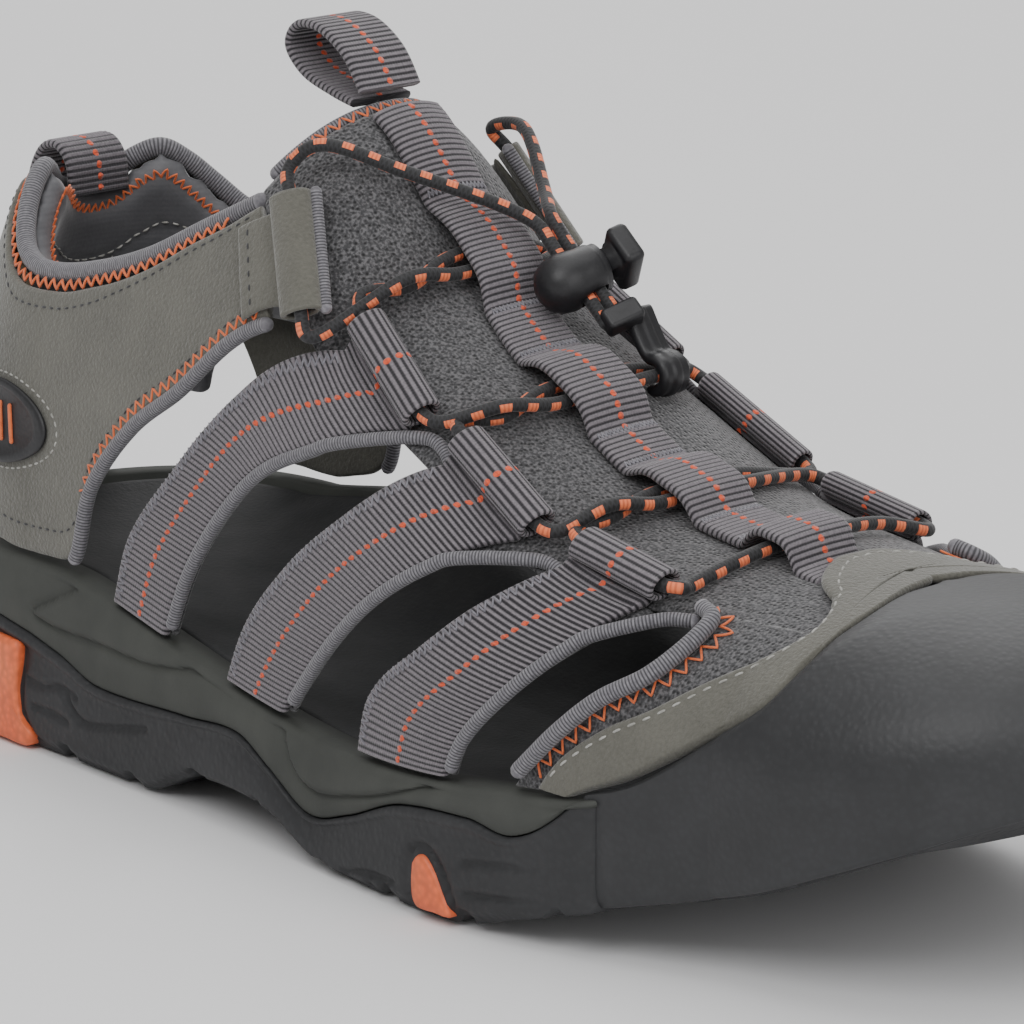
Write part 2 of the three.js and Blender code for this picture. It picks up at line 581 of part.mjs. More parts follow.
// ---- badge: an oval on the outer side of the heel ----
const badgeWay = -0.86;
const badgeUp = 0.17;
const badgeHalf = [0.19, 0.055]; // half length in way, half height in up
function badgeSpot(a, b, lift) {
  const radius = a;
  const angle = 2 * Math.PI * b;
  return onFoot(badgeWay + badgeHalf[0] * radius * Math.cos(angle), badgeUp + badgeHalf[1] * radius * Math.sin(angle), lift);
}
const badgeRing = (share, lift) => {
  const spots = [];
  for (let i = 0; i < 20; i += 1) spots.push(badgeSpot(share, i / 20, lift));
  return spots;
};
const badgeLift = [nubuck[1] + gap, nubuck[1] + gap + 1];
add("heel_badge", rings([badgeRing(0.01, badgeLift[0]), badgeRing(0.5, badgeLift[0]), badgeRing(1, badgeLift[0]),
  badgeRing(1, badgeLift[1]), badgeRing(0.5, badgeLift[1]), badgeRing(0.01, badgeLift[1])], true), "badge");

// ---- lock, hook and lace ----
const lockCentre = new THREE.Vector3(1.5, 8, 99.6);
const lockAxis = new THREE.Vector3(0.25, 0.92, 0.3).normalize(); // from the lock's round end to its button
const pullAxis = new THREE.Vector3(0.77, 0, -0.64); // the way the cords run through the lock
pullAxis.addScaledVector(lockAxis, -pullAxis.dot(lockAxis)).normalize();
// Local to world: x along the cords, y along the lock's axis, z square to both.
const lockFrame = new THREE.Matrix4().makeBasis(pullAxis, lockAxis, pullAxis.clone().cross(lockAxis))
  .setPosition(lockCentre);
const cordSpread = 1.35; // half the distance between the two cords in the lock
const press = 2.2; // button travel
const barrelRadius = 4.9;
const boreRadius = 3.2;
const stemRadius = 2.95;
const roundPart = (radius, low, high, sides = 20) => {
  const body = new THREE.CylinderGeometry(radius, radius, high - low, sides);
  body.translate(0, (low + high) / 2, 0);
  return body;
};
const block = (size, centre) => new THREE.BoxGeometry(...size).translate(...centre);
const cordRoom = laceRadius + 0.3;

function lockBody() {
  const ball = new THREE.SphereGeometry(barrelRadius + 0.6, 16, 10).translate(0, -3.4, 0);
  const barrel = roundPart(barrelRadius, -6, 3);
  const neck = roundPart(barrelRadius - 0.6, 2.9, 4.2);
  const bore = roundPart(boreRadius, -7, 5);
  const slot = block([14, 2 * (cordSpread + cordRoom), 2 * cordRoom], [0, 0, 0]);
  return cut(join(ball, barrel, neck), bore, slot);
}
function lockButton() {
  const stem = roundPart(stemRadius, -3.9, 6.7);
  const head = block([8.2, 4.2, 10.6], [0, 8.7, 0]);
  const collar = roundPart(3.6, 6.55, 6.7);
  const low = -cordSpread - cordRoom;
  const high = cordSpread + cordRoom + press;
  const slot = block([14, high - low, 2 * cordRoom], [0, (high + low) / 2, 0]);
  return cut(join(stem, collar, head), slot);
}
function lockSpring() {
  const coil = [[1.4, -6.8], [2.5, -6.8], [2.5, -4.2], [1.4, -4.2], [1.4, -6.8]];
  return new THREE.LatheGeometry(coil.map(([r, y]) => new THREE.Vector2(r, y)), 14);
}
const placed = (geometry) => geometry.clone().applyMatrix4(lockFrame);
add("lock_body", placed(lockBody()), "plastic");
add("lock_button", placed(lockButton()), "plastic");
add("lock_spring", placed(lockSpring()), "steel");

const inLock = (x, y, z) => new THREE.Vector3(x, y, z).applyMatrix4(lockFrame);
// The hook: a socket block on the cord ends, a spine, and a lip that reaches round the second row of lace.
const hookGrip = overRidge(14.6, 15.5, 5.4); // where the raised lace lies in the lip
const lipRadius = 2.75;
const lipSpots = [80, 40, 0, -40, -80, -115].map((degrees) => {
  const angle = (degrees * Math.PI) / 180;
  return [hookGrip.x + lipRadius * Math.cos(angle), hookGrip.z + lipRadius * Math.sin(angle)];
});
const hookWidth = 6.6;
const socketAt = 11.2; // how far down the cords the socket sits from the lock's centre
function laceHook() {
  const socket = inLock(socketAt, 0, 0.8);
  const spine = flatLoop([[socket.x - 0.8, socket.z + 1.4], [hookGrip.x - 2.6, hookGrip.z + 3.8], ...lipSpots],
    2, hookWidth, 22).translate(0, hookGrip.y, 0);
  const body = block([4.4, 7.4, 4], [socketAt, 1.6, 0.8]).applyMatrix4(lockFrame);
  const holes = [-1, 1].map((sign) => {
    const hole = new THREE.CylinderGeometry(laceRadius + 0.25, laceRadius + 0.25, 5, 10);
    hole.rotateZ(Math.PI / 2);
    hole.translate(socketAt - 0.7, sign * cordSpread, 0);
    return hole.applyMatrix4(lockFrame);
  });
  return cut(join(body, spine), ...holes);
}
add("lace_hook", laceHook(), "plastic");

// The lace, by hand: each row runs from the lower end of one loop, under its keeper, to the upper end of the next
// loop on the other side. Row r: [x, up] where the cord comes from, and where it goes to.
const loopLift = webbing[0] + loopInner + loopWall;
const tunnelLift = nubuck[1] + gap + loopInner + loopWall;
const onSide = (side, x, up, lift) => onFoot(wayAt(x, side), up, lift);
const flatLift = shellThickness + gap + laceRadius + 0.7;
const loopTopX = { rear: -19, middle: 11, front: 41 };
const loopFootX = { rear: 2, middle: 32, front: 62 };
function throughLoop(side, name, upwards) {
  const spots = [
    onSide(side, loopTopX[name] - 3.4, 0.66, loopLift - 0.4),
    onSide(side, loopTopX[name], 0.645, loopLift),
    onSide(side, loopFootX[name], 0.615, loopLift),
    onSide(side, loopFootX[name] + 3.2, 0.63, loopLift - 0.4),
  ];
  return upwards ? spots.reverse() : spots;
}
function throughTunnel(side, upwards) {
  const spots = [[-41.5, 0.675, 0], ...slingEndAxis.map(([x, up]) => [x, up, 0]), [-25.6, 0.515, -0.8]]
    .map(([x, up, drop]) => onSide(side, x, up, tunnelLift + drop));
  return upwards ? spots.reverse() : spots;
}
// From the outer side to the inner one: the cord that comes from behind lies over the one that goes back up.
function crossRow(keeperX, comesFromBehind) {
  const shift = comesFromBehind ? 1.65 : -1.65;
  const over = comesFromBehind ? 2.9 : 0;
  return [
    overRidge(keeperX - 1, -17, flatLift + over),
    overRidge(keeperX + shift, -9.5, flatLift + over * 0.25),
    overRidge(keeperX + shift, 0, flatLift),
    overRidge(keeperX + shift, 10, flatLift),
  ];
}
const frontRow = [-22, -8, 8, 22].map((sideways) => overRidge(67 - Math.abs(sideways) * 0.12, sideways, flatLift));
const backwards = (spots) => [...spots].reverse();
const endInLock = (spread) => [inLock(socketAt - 0.6, spread, 0), inLock(8, spread, 0), inLock(-8, spread, 0),
  inLock(-13, spread * 1.2, 0.4)];
const overTongue = { lateral: [overFoot(-30, -0.14, 7), overFoot(-39, -0.26, 8)],
  medial: [overFoot(-24, 0.16, 11), overFoot(-36, 0.28, 10)] };
const laceRoute = [
  ...endInLock(-cordSpread),
  ...overTongue.lateral,
  ...throughTunnel(-1, false),
  ...crossRow(keepers[0], true),
  ...throughLoop(1, "rear", false),
  ...backwards(crossRow(keepers[1], false)),
  ...throughLoop(-1, "middle", false),
  ...crossRow(keepers[2], true),
  ...throughLoop(1, "front", false),
  ...backwards(frontRow),
  ...throughLoop(-1, "front", true),
  ...crossRow(keepers[2], false),
  ...throughLoop(1, "middle", true),
  ...backwards([...crossRow(keepers[1], true).slice(0, 3), hookGrip]),
  ...throughLoop(-1, "rear", true),
  ...crossRow(keepers[0], false),
  ...throughTunnel(1, true),
  ...backwards(overTongue.medial),
  ...backwards(endInLock(cordSpread)),
];
add("lace", cord(laceRoute, laceRadius, 8, 180), "lace");

export default group;
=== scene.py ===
import bpy
import numpy as np
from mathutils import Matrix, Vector


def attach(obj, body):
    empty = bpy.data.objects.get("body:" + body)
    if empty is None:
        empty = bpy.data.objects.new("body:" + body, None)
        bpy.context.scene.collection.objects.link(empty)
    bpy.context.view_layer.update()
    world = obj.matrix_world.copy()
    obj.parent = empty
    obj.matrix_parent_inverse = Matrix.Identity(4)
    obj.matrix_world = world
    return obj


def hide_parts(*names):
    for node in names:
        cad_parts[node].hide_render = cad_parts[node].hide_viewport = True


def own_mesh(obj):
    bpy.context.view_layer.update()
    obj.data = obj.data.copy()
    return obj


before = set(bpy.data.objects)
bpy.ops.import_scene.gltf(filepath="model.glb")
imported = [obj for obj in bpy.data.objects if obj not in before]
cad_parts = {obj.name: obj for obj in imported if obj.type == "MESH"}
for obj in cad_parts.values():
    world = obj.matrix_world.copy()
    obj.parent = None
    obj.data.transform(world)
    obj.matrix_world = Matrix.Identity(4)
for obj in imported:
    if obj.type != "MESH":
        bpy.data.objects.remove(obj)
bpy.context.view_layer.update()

# A right-foot sport sandal. Shapes are worked out in millimetres and put into the mesh in metres.
mm = 0.001
pi = np.pi
for spare in ("Cube", "Light", "Camera"):  # what an empty file starts with
    if spare in bpy.data.objects:
        bpy.data.objects.remove(bpy.data.objects[spare])


def say(stage):
    # a line for each stage of the making
    print("sandal:", stage, flush=True)


# ---- camera, lights and floor ----
view = {"camera": (859.7, -781.3, 351.1), "target": (-4.9, -2.8, 56.8), "lens": 235.5}
cameraData = bpy.data.cameras.new("camera")
cameraData.lens = view["lens"]
cameraData.sensor_width = 36
cameraData.clip_end = 20
camera = bpy.data.objects.new("camera", cameraData)
bpy.context.scene.collection.objects.link(camera)
camera.location = Vector(view["camera"]) * mm
camera.rotation_euler = (Vector(view["target"]) - Vector(view["camera"])).to_track_quat("-Z", "Y").to_euler()
bpy.context.scene.camera = camera

lamps = {  # place, size in metres, power in watts
    "key": ((0.5, -1.1, 1.3), 1.0, 13), "front": ((1.5, -0.2, 0.7), 1.1, 8),
    "back": ((-1.0, 1.0, 1.2), 1.2, 11), "over": ((0.0, 0.1, 1.6), 1.4, 10),
}
for lampName, (place, size, power) in lamps.items():
    lampData = bpy.data.lights.new(lampName, "AREA")
    lampData.size = size
    lampData.energy = power
    lamp = bpy.data.objects.new(lampName, lampData)
    bpy.context.scene.collection.objects.link(lamp)
    lamp.location = place
    lamp.rotation_euler = (Vector((0, 0, 0.05)) - Vector(place)).to_track_quat("-Z", "Y").to_euler()
world = bpy.data.worlds.new("studio")
bpy.context.scene.world = world
world.use_nodes = True
world.node_tree.nodes["Background"].inputs["Color"].default_value = (0.95, 0.935, 0.925, 1)
world.node_tree.nodes["Background"].inputs["Strength"].default_value = 0.5


# ---- materials ----
def linear(hexColour):
    # an sRGB hex value as linear red, green, blue and alpha
    share = np.array([int(hexColour[i:i + 2], 16) for i in (1, 3, 5)]) / 255
    low = share / 12.92
    high = ((share + 0.055) / 1.055) ** 2.4
    return (*np.where(share <= 0.04045, low, high), 1.0)


def addNode(tree, kind, settings=None, inputs=None):
    # a node with its settings, each input given a value or the socket that feeds it
    node = tree.nodes.new("ShaderNode" + kind)
    for key, value in (settings or {}).items():
        setattr(node, key, value)
    for key, value in (inputs or {}).items():
        if isinstance(value, bpy.types.NodeSocket):
            tree.links.new(value, node.inputs[key])
        else:
            node.inputs[key].default_value = value
    return node


def startMaterial(name, **sockets):
    # a material with its own tree, and its shader's sockets set; an underscore stands for a space
    material = bpy.data.materials.new(name)
    material.use_nodes = True
    tree = material.node_tree
    shader = tree.nodes["Principled BSDF"]
    for key, value in sockets.items():
        shader.inputs[key.replace("_", " ")].default_value = value
    return material, tree, shader


def math(tree, operation, a, b=0.0):
    # one Math node's result for two values or sockets
    return addNode(tree, "Math", {"operation": operation}, {0: a, 1: b}).outputs[0]


def blendColour(tree, share, a, b):
    # colour a where share is 0 and b where it is 1; either may be a hex value or a socket
    node = addNode(tree, "Mix", {"data_type": "RGBA"}, {0: share})
    for socket, value in ((node.inputs[6], a), (node.inputs[7], b)):
        if isinstance(value, str):
            socket.default_value = linear(value)
        else:
            tree.links.new(value, socket)
    return node.outputs[2]


def noiseOf(tree, size, detail=3.0, source="Object"):
    # noise with features of about size mm, on object coordinates in metres
    place = addNode(tree, "TexCoord").outputs[source]
    return addNode(tree, "TexNoise", None,
                   {"Vector": place, "Scale": 1 / (size * mm), "Detail": detail}).outputs[0]


def ramp(tree, value, low, high):
    # value stretched so that low becomes 0 and high becomes 1
    return addNode(tree, "MapRange", {"clamp": True}, {0: value, 1: low, 2: high}).outputs[0]


def bump(tree, shader, height, depth):
    # the shader's normal tilted by a height field that stands depth mm proud
    node = addNode(tree, "Bump", None, {"Height": height, "Distance": depth * mm})
    tree.links.new(node.outputs[0], shader.inputs["Normal"])


def stripes(tree, value, pitch, share):
    # 1 on the first share of every pitch mm of value, else 0
    return math(tree, "LESS_THAN", math(tree, "FRACT", math(tree, "DIVIDE", value, pitch)), share)


def weaveUv(tree, name="weave"):
    # the piece's own mm coordinates: along it and across it
    place = addNode(tree, "UVMap", {"uv_map": name}).outputs[0]
    split = addNode(tree, "SeparateXYZ", None, {0: place})
    return split.outputs[0], split.outputs[1]


def nubuckMaterial():
    # synthetic nubuck, buffed: matt, with a nap that catches light at grazing angles. Its fibres, about
    # 0.05 mm,
    # are too fine to show and are drawn as 0.7 mm tufts
    material, tree, shader = startMaterial("buffed-nubuck", Roughness=0.92, Sheen_Weight=0.35,
                                           Sheen_Roughness=0.5)
    cloud = ramp(tree, noiseOf(tree, 14, 4), 0.3, 0.7)
    nap = ramp(tree, noiseOf(tree, 0.7, 4), 0.25, 0.75)
    base = blendColour(tree, cloud, "#4b4a43", "#5c5b53")
    # painted highlight: the nap's raised tufts are lightened towards #6f6d65, following the same field as the
    # bump
    tree.links.new(blendColour(tree, math(tree, "MULTIPLY", nap, 0.45), base, "#6f6d65"),
                   shader.inputs["Base Color"])
    bump(tree, shader, nap, 0.16)
    return material


def webbingMaterial(name, thread, dark, dot):
    # woven polyester webbing: crosswise ribs 1.15 mm apart, with a row of coloured picks, like beads, down
    # its
    # centre. The yarns between ribs, about 0.3 mm, are too fine to show and are drawn 0.62 mm apart
    material, tree, shader = startMaterial(name, Roughness=0.85, Sheen_Weight=0.25, Sheen_Roughness=0.4)
    u, v = weaveUv(tree)
    rib = ramp(tree, math(tree, "SINE", math(tree, "MULTIPLY", u, 2 * pi / 1.15)), -0.75, 0.5)
    yarn = math(tree, "SINE", math(tree, "MULTIPLY", v, 2 * pi / 0.62))
    speck = ramp(tree, noiseOf(tree, 0.5, 2), 0.3, 0.7)
    # painted shade and highlight: the valleys between ribs take the dark colour, the rib tops the thread
    # colour, and pale specks lighten only the tops
    ground = blendColour(tree, rib, dark, thread)
    ground = blendColour(tree, math(tree, "MULTIPLY", math(tree, "MULTIPLY", speck, rib), 0.55), ground,
                         "#8b858a")
    height = math(tree, "ADD", rib, math(tree, "MULTIPLY", yarn, 0.12))
    if dot:
        # beads every 2.1 mm, about 1.3 mm across: full where the squared distance to the nearest centre is
        # 0.36
        near = math(tree, "MULTIPLY",
                    math(tree, "SUBTRACT", math(tree, "FRACT", math(tree, "DIVIDE", u, 2.1)), 0.5), 2.1)
        far = math(tree, "ADD", math(tree, "MULTIPLY", near, near), math(tree, "MULTIPLY", v, v))
        bead = ramp(tree, far, 0.46, 0.36)
        ground = blendColour(tree, bead, ground, dot)
        height = math(tree, "ADD", height, math(tree, "MULTIPLY", ramp(tree, far, 0.46, 0.0), 2.0))
    tree.links.new(ground, shader.inputs["Base Color"])
    bump(tree, shader, height, 0.2)
    return material


def bindingMaterial():
    # ribbed stretch binding: silver-grey yarn wound crosswise over a dark core, one winding each 0.6 mm
    material, tree, shader = startMaterial("wound-binding", Roughness=0.7, Sheen_Weight=0.25)
    u, v = weaveUv(tree)
    wave = ramp(tree, math(tree, "SINE", math(tree, "MULTIPLY", u, 2 * pi / 0.6)), -0.9, 0.5)
    speck = ramp(tree, noiseOf(tree, 0.8, 2), 0.3, 0.7)
    yarn = blendColour(tree, speck, "#66646a", "#858388")
    tree.links.new(blendColour(tree, wave, "#3b3a3e", yarn), shader.inputs["Base Color"])
    bump(tree, shader, wave, 0.1)
    return material


def cordMaterial():
    # braided polyester over elastic: fine black strands, with two staggered rows of orange blocks on
    # opposite sides
    material, tree, shader = startMaterial("braided-cord", Roughness=0.7, Sheen_Weight=0.2)
    u, v = weaveUv(tree)
    left, right = (math(tree, "SINE", math(tree, way, math(tree, "MULTIPLY", u, 2 * pi / 0.9),
                                           math(tree, "MULTIPLY", v, 4))) for way in ("ADD", "SUBTRACT"))
    height = math(tree, "MAXIMUM", left, right)
    # painted shade: the braid is darker between its strands and lighter on their crowns, from the same height
    # as the bump
    lift = ramp(tree, height, -0.2, 1.0)
    base = blendColour(tree, lift, "#0e0e0f", "#242427")
    face = math(tree, "COSINE", v)
    rows = []
    for sign, shift in ((1.0, 0.0), (-1.0, 0.5)):
        place = math(tree, "FRACT", math(tree, "ADD", math(tree, "DIVIDE", u, 4.9), shift))
        rows.append(math(tree, "MULTIPLY", math(tree, "LESS_THAN", place, 0.42),
                         math(tree, "GREATER_THAN", math(tree, "MULTIPLY", face, sign), 0.62)))
    fleck = math(tree, "MAXIMUM", *rows)
    strand = ramp(tree, math(tree, "SINE", math(tree, "MULTIPLY", u, 2 * pi / 0.72)), -1.6, 0.4)
    orange = blendColour(tree, strand, "#b8522f", "#ec7a4c")
    tree.links.new(blendColour(tree, fleck, base, orange), shader.inputs["Base Color"])
    bump(tree, shader, math(tree, "ADD", math(tree, "MULTIPLY", height, 0.3), fleck), 0.07)
    return material


def meshMaterial():
    # knitted spacer mesh: charcoal yarn with lighter specks round dark holes about 0.95 mm apart
    material, tree, shader = startMaterial("air-mesh", Roughness=0.9, Sheen_Weight=0.3)
    place = addNode(tree, "TexCoord").outputs["Object"]
    cells = addNode(tree, "TexVoronoi", None, {"Vector": place, "Scale": 1 / (0.95 * mm), "Randomness": 0.5})
    hole = ramp(tree, cells.outputs["Distance"], 0.12, 0.5)
    speck = ramp(tree, noiseOf(tree, 0.55, 2), 0.42, 0.62)
    yarn = blendColour(tree, speck, "#38383a", "#646365")
    tree.links.new(blendColour(tree, hole, "#141416", yarn), shader.inputs["Base Color"])
    bump(tree, shader, hole, 0.22)
    return material


def foamMaterial(name, colour, second, depth):
    # compression-moulded EVA foam: matt skin with a faint orange-peel grain of about 0.9 mm
    material, tree, shader = startMaterial(name, Roughness=0.78, IOR=1.45)
    cloud = ramp(tree, noiseOf(tree, 9, 4), 0.3, 0.7)
    grain = noiseOf(tree, 0.9, 4)
    tree.links.new(blendColour(tree, cloud, colour, second), shader.inputs["Base Color"])
    bump(tree, shader, grain, depth)
    return material


def rubberMaterial(name, colour, second, grainSize, depth, roughness):
    # vulcanised rubber from an etched mould: pebble grain, with painted shade darkening the hollows between
    # the pebbles, so that their tops read lighter
    material, tree, shader = startMaterial(name, Roughness=roughness, IOR=1.52)
    place = addNode(tree, "TexCoord").outputs["Object"]
    pebble = addNode(tree, "TexVoronoi", {"feature": "SMOOTH_F1"},
                     {"Vector": place, "Scale": 1 / (grainSize * mm), "Randomness": 1.0}).outputs["Distance"]
    top = ramp(tree, pebble, 0.15, 0.6)
    cloud = ramp(tree, noiseOf(tree, 12, 3), 0.3, 0.7)
    base = blendColour(tree, cloud, colour, second)
    # painted shade: where top is high, in the hollows between pebbles, the colour darkens towards #0e0e10
    tree.links.new(blendColour(tree, math(tree, "MULTIPLY", top, 0.25), base, "#0e0e10"),
                   shader.inputs["Base Color"])
    bump(tree, shader, math(tree, "SUBTRACT", 1.0, top), depth)
    return material


def plasticMaterial():
    # injection-moulded acetal: satin, with a light spark-eroded grain
    material, tree, shader = startMaterial("moulded-acetal", Roughness=0.42, IOR=1.48)
    grain = noiseOf(tree, 0.6, 3)
    tree.links.new(blendColour(tree, grain, "#131315", "#232326"), shader.inputs["Base Color"])
    bump(tree, shader, grain, 0.03)
    return material


def liningMaterial():
    # knitted polyester lining: soft satin grey. Its wales, about 0.5 mm, are too fine to show and are drawn
    # 1 mm apart
    material, tree, shader = startMaterial("knit-lining", Roughness=0.6, Sheen_Weight=0.5,
                                           Sheen_Roughness=0.35)
    place = addNode(tree, "TexCoord").outputs["Object"]
    split = addNode(tree, "SeparateXYZ", None, {0: place})
    wale = math(tree, "SINE", math(tree, "MULTIPLY", split.outputs[2], 2 * pi / (1.0 * mm)))
    fine = noiseOf(tree, 0.6, 3)
    height = math(tree, "ADD", math(tree, "MULTIPLY", wale, 0.12), fine)
    cloud = ramp(tree, noiseOf(tree, 10, 3), 0.3, 0.7)
    base = blendColour(tree, cloud, "#48484b", "#59595c")
    # painted highlight: the raised wales and knit are lightened towards #88888c, following the bump's height
    tree.links.new(blendColour(tree, math(tree, "MULTIPLY", ramp(tree, height, -0.2, 1.2), 0.3), base,
                               "#88888c"),
                   shader.inputs["Base Color"])
    bump(tree, shader, height, 0.04)
    return material


def threadMaterial(name, colour, second):
    # twisted polyester sewing thread: slight sheen, with its colour a little uneven along it
    material, tree, shader = startMaterial(name, Roughness=0.6, Sheen_Weight=0.3)
    tree.links.new(blendColour(tree, ramp(tree, noiseOf(tree, 1.2, 2), 0.3, 0.7), colour, second),
                   shader.inputs["Base Color"])
    return material


def steelMaterial():
    # drawn spring steel: bright, brushed round the wire
    material, tree, shader = startMaterial("drawn-steel", Roughness=0.3, Metallic=1.0)
    grain = noiseOf(tree, 0.4, 3)
    tree.links.new(blendColour(tree, grain, "#9da1a5", "#c3c7ca"), shader.inputs["Base Color"])
    bump(tree, shader, grain, 0.01)
    return material


def floorMaterial():
    # painted studio board: plain, pale and matt
    material, tree, shader = startMaterial("studio-board", Roughness=0.85)
    tree.links.new(blendColour(tree, noiseOf(tree, 400, 1), "#e9e9ea", "#ededee"),
                   shader.inputs["Base Color"])
    return material


finish = {
    "nubuck": nubuckMaterial(), "webbing": webbingMaterial("woven-webbing", "#6c676c", "#232125", "#de5a38"),
    "plainWeb": webbingMaterial("woven-webbing-plain", "#6c676c", "#232125", None),
    "binding": bindingMaterial(), "cord": cordMaterial(), "airMesh": meshMaterial(),
    "midsole": foamMaterial("moulded-eva", "#3b3d3a", "#444642", 0.05),
    "footbed": foamMaterial("footbed-eva", "#2f3031", "#3b3b3c", 0.2),
    "outsole": rubberMaterial("etched-rubber", "#222325", "#2a2b2d", 1.3, 0.1, 0.6),
    "toeRubber": rubberMaterial("smooth-rubber", "#222325", "#2a2b2d", 1.1, 0.04, 0.52),
    "orangeRubber": rubberMaterial("orange-rubber", "#e8683c", "#f07a48", 1.3, 0.05, 0.5),
    "plastic": plasticMaterial(), "lining": liningMaterial(), "steel": steelMaterial(),
    "paleThread": threadMaterial("pale-thread", "#aeada8", "#86857f"),
    "greyThread": threadMaterial("grey-thread", "#7b7980", "#5b5960"),
    "darkThread": threadMaterial("dark-thread", "#1d1d1e", "#353537"),
    "orangeThread": threadMaterial("orange-thread", "#e2703a", "#c95f2f"),
    "board": foamMaterial("pressed-board", "#8b7d68", "#9a8c76", 0.1),
    "badge": rubberMaterial("badge-rubber", "#19191b", "#222225", 0.8, 0.03, 0.5),
    "floor": floorMaterial(),
}
say("materials ready")


# ---- meshes from grids ----
def makePiece(name, points, quads, triangles, uvs, body, node=None, slot=None, look=None):
    # points in mm, faces as index arrays, uvs as {map name: two numbers for each face corner}
    points = np.asarray(points, float)
    a, b, c, d = (points[quads[:, k]] for k in range(4))
    volume = np.einsum("ij,ij->", a, np.cross(b, c)) + np.einsum("ij,ij->", a, np.cross(c, d))
    if len(triangles):
        e, f, g = (points[triangles[:, k]] for k in range(3))
        volume += np.einsum("ij,ij->", e, np.cross(f, g))
    if volume < 0:  # every face turns over, so that they all point outwards
        quads, triangles = quads[:, ::-1], triangles[:, ::-1]
        uvs = {key: (q[:, ::-1], t[:, ::-1]) for key, (q, t) in uvs.items()}
    mesh = bpy.data.meshes.new(name)
    mesh.vertices.add(len(points))
    mesh.vertices.foreach_set("co", (points * mm).astype(np.float32).ravel())
    loops = np.concatenate([quads.ravel(), triangles.ravel()]).astype(np.int32)
    starts = np.concatenate([np.arange(len(quads)) * 4, len(quads) * 4 + np.arange(len(triangles)) * 3])
    mesh.loops.add(len(loops))
    mesh.polygons.add(len(starts))
    mesh.polygons.foreach_set("loop_start", starts.astype(np.int32))
    mesh.polygons.foreach_set("vertices", loops)
    for key, (quadUv, triangleUv) in uvs.items():
        layer = mesh.uv_layers.new(name=key)
        layer.data.foreach_set("uv", np.concatenate([quadUv.ravel(), triangleUv.ravel()]).astype(np.float32))
    mesh.update(calc_edges=True)
    mesh.validate()
    mesh.shade_smooth()
    piece = bpy.data.objects.new(name, mesh)
    bpy.context.scene.collection.objects.link(piece)
    if look:
        mesh.materials.append(finish[look])
    if body:
        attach(piece, body)
    if node:
        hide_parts(*([node] if isinstance(node, str) else node))
    return piece


def gridFaces(rows, cols, wrap, caps, first=0):
    # faces joining a grid's neighbours; wrap joins the last column to the first, and caps fans the end rows
    # closed
    across = cols if wrap else cols - 1
    i = np.arange(rows - 1)[:, None] * cols
    j = np.arange(across)[None, :]
    k = (j + 1) % cols
    quads = np.stack(np.broadcast_arrays(i + j, i + cols + j, i + cols + k, i + k), -1).reshape(-1, 4)
    triangles = np.zeros((0, 3), int)
    if caps:
        last = (rows - 1) * cols
        low, high = rows * cols, rows * cols + 1
        j, k = j.ravel(), k.ravel()
        triangles = np.concatenate([np.stack([np.full(across, low), j, k], 1),
                                    np.stack([np.full(across, high), last + k, last + j], 1)])
    return quads + first, triangles + first


def gridPiece(name, grid, wrap=True, caps=True, uv=None, **settings):
    # a surface from a grid of points, or from a stack of such grids as one piece
    grid = np.asarray(grid, float)
    if grid.ndim == 3:
        grid = grid[None]
        uv = None if uv is None else {key: value[None] for key, value in uv.items()}
    count, rows, cols = grid.shape[:3]
    quads, triangles = gridFaces(rows, cols, wrap, caps)
    each = rows * cols + (2 if caps else 0)
    points = grid.reshape(count, rows * cols, 3)
    if caps:
        points = np.concatenate([points, grid[:, :1].mean(2), grid[:, -1:].mean(2)], 1)
    step = (np.arange(count) * each)[:, None, None]
    uvs = {}
    for key, value in (uv or {}).items():
        # value has one column more than the grid where it wraps, so that the pattern runs on to the seam
        wide = value.shape[2]
        across = cols if wrap else cols - 1
        i = np.arange(rows - 1)[:, None] * wide
        j = np.arange(across)[None, :]
        corner = np.stack(np.broadcast_arrays(i + j, i + wide + j, i + wide + j + 1, i + j + 1),
                          -1).reshape(-1, 4)
        flat = value.reshape(count, rows * wide, 2)
        quadUv = flat[:, corner].reshape(-1, 4, 2)
        if caps:
            j = np.arange(across)
            low = np.stack([j, j, j + 1], 1)
            high = (rows - 1) * wide + np.stack([j, j + 1, j], 1)
            triangleUv = flat[:, np.concatenate([low, high])].reshape(-1, 3, 2)
        else:
            triangleUv = np.zeros((0, 3, 2))
        uvs[key] = (quadUv, triangleUv)
    return makePiece(name, points.reshape(-1, 3), (quads[None] + step).reshape(-1, 4),
                     (triangles[None] + step).reshape(-1, 3), uvs, **settings)


# ---- curves and profiles ----
def mix(a, b, t):
    # a where t is 0, b where it is 1, in a straight line between and beyond
    return a + (b - a) * t


def smooth(low, high, value):
    # 0 below low, 1 above high, with an S-shaped rise between
    t = np.clip((value - low) / (high - low), 0, 1)
    return t * t * (3 - 2 * t)


def along(profile, x):
    # a smooth curve through a profile's points: cubic pieces whose slope at a point joins its two neighbours
    px, py = np.array(profile, float).T
    last = len(px) - 1
    before, after = np.maximum(np.arange(last + 1) - 1, 0), np.minimum(np.arange(last + 1) + 1, last)
    slope = (py[after] - py[before]) / (px[after] - px[before])
    at = np.clip(x, px[0], px[-1])
    i = np.searchsorted(px[1:-1], at, side="left")
    span = px[i + 1] - px[i]
    t = (at - px[i]) / span
    rise = py[i] * (1 + 2 * t) * (1 - t) ** 2 + py[i + 1] * t * t * (3 - 2 * t)
    return rise + span * (slope[i] * t * (1 - t) ** 2 + slope[i + 1] * t * t * (t - 1))


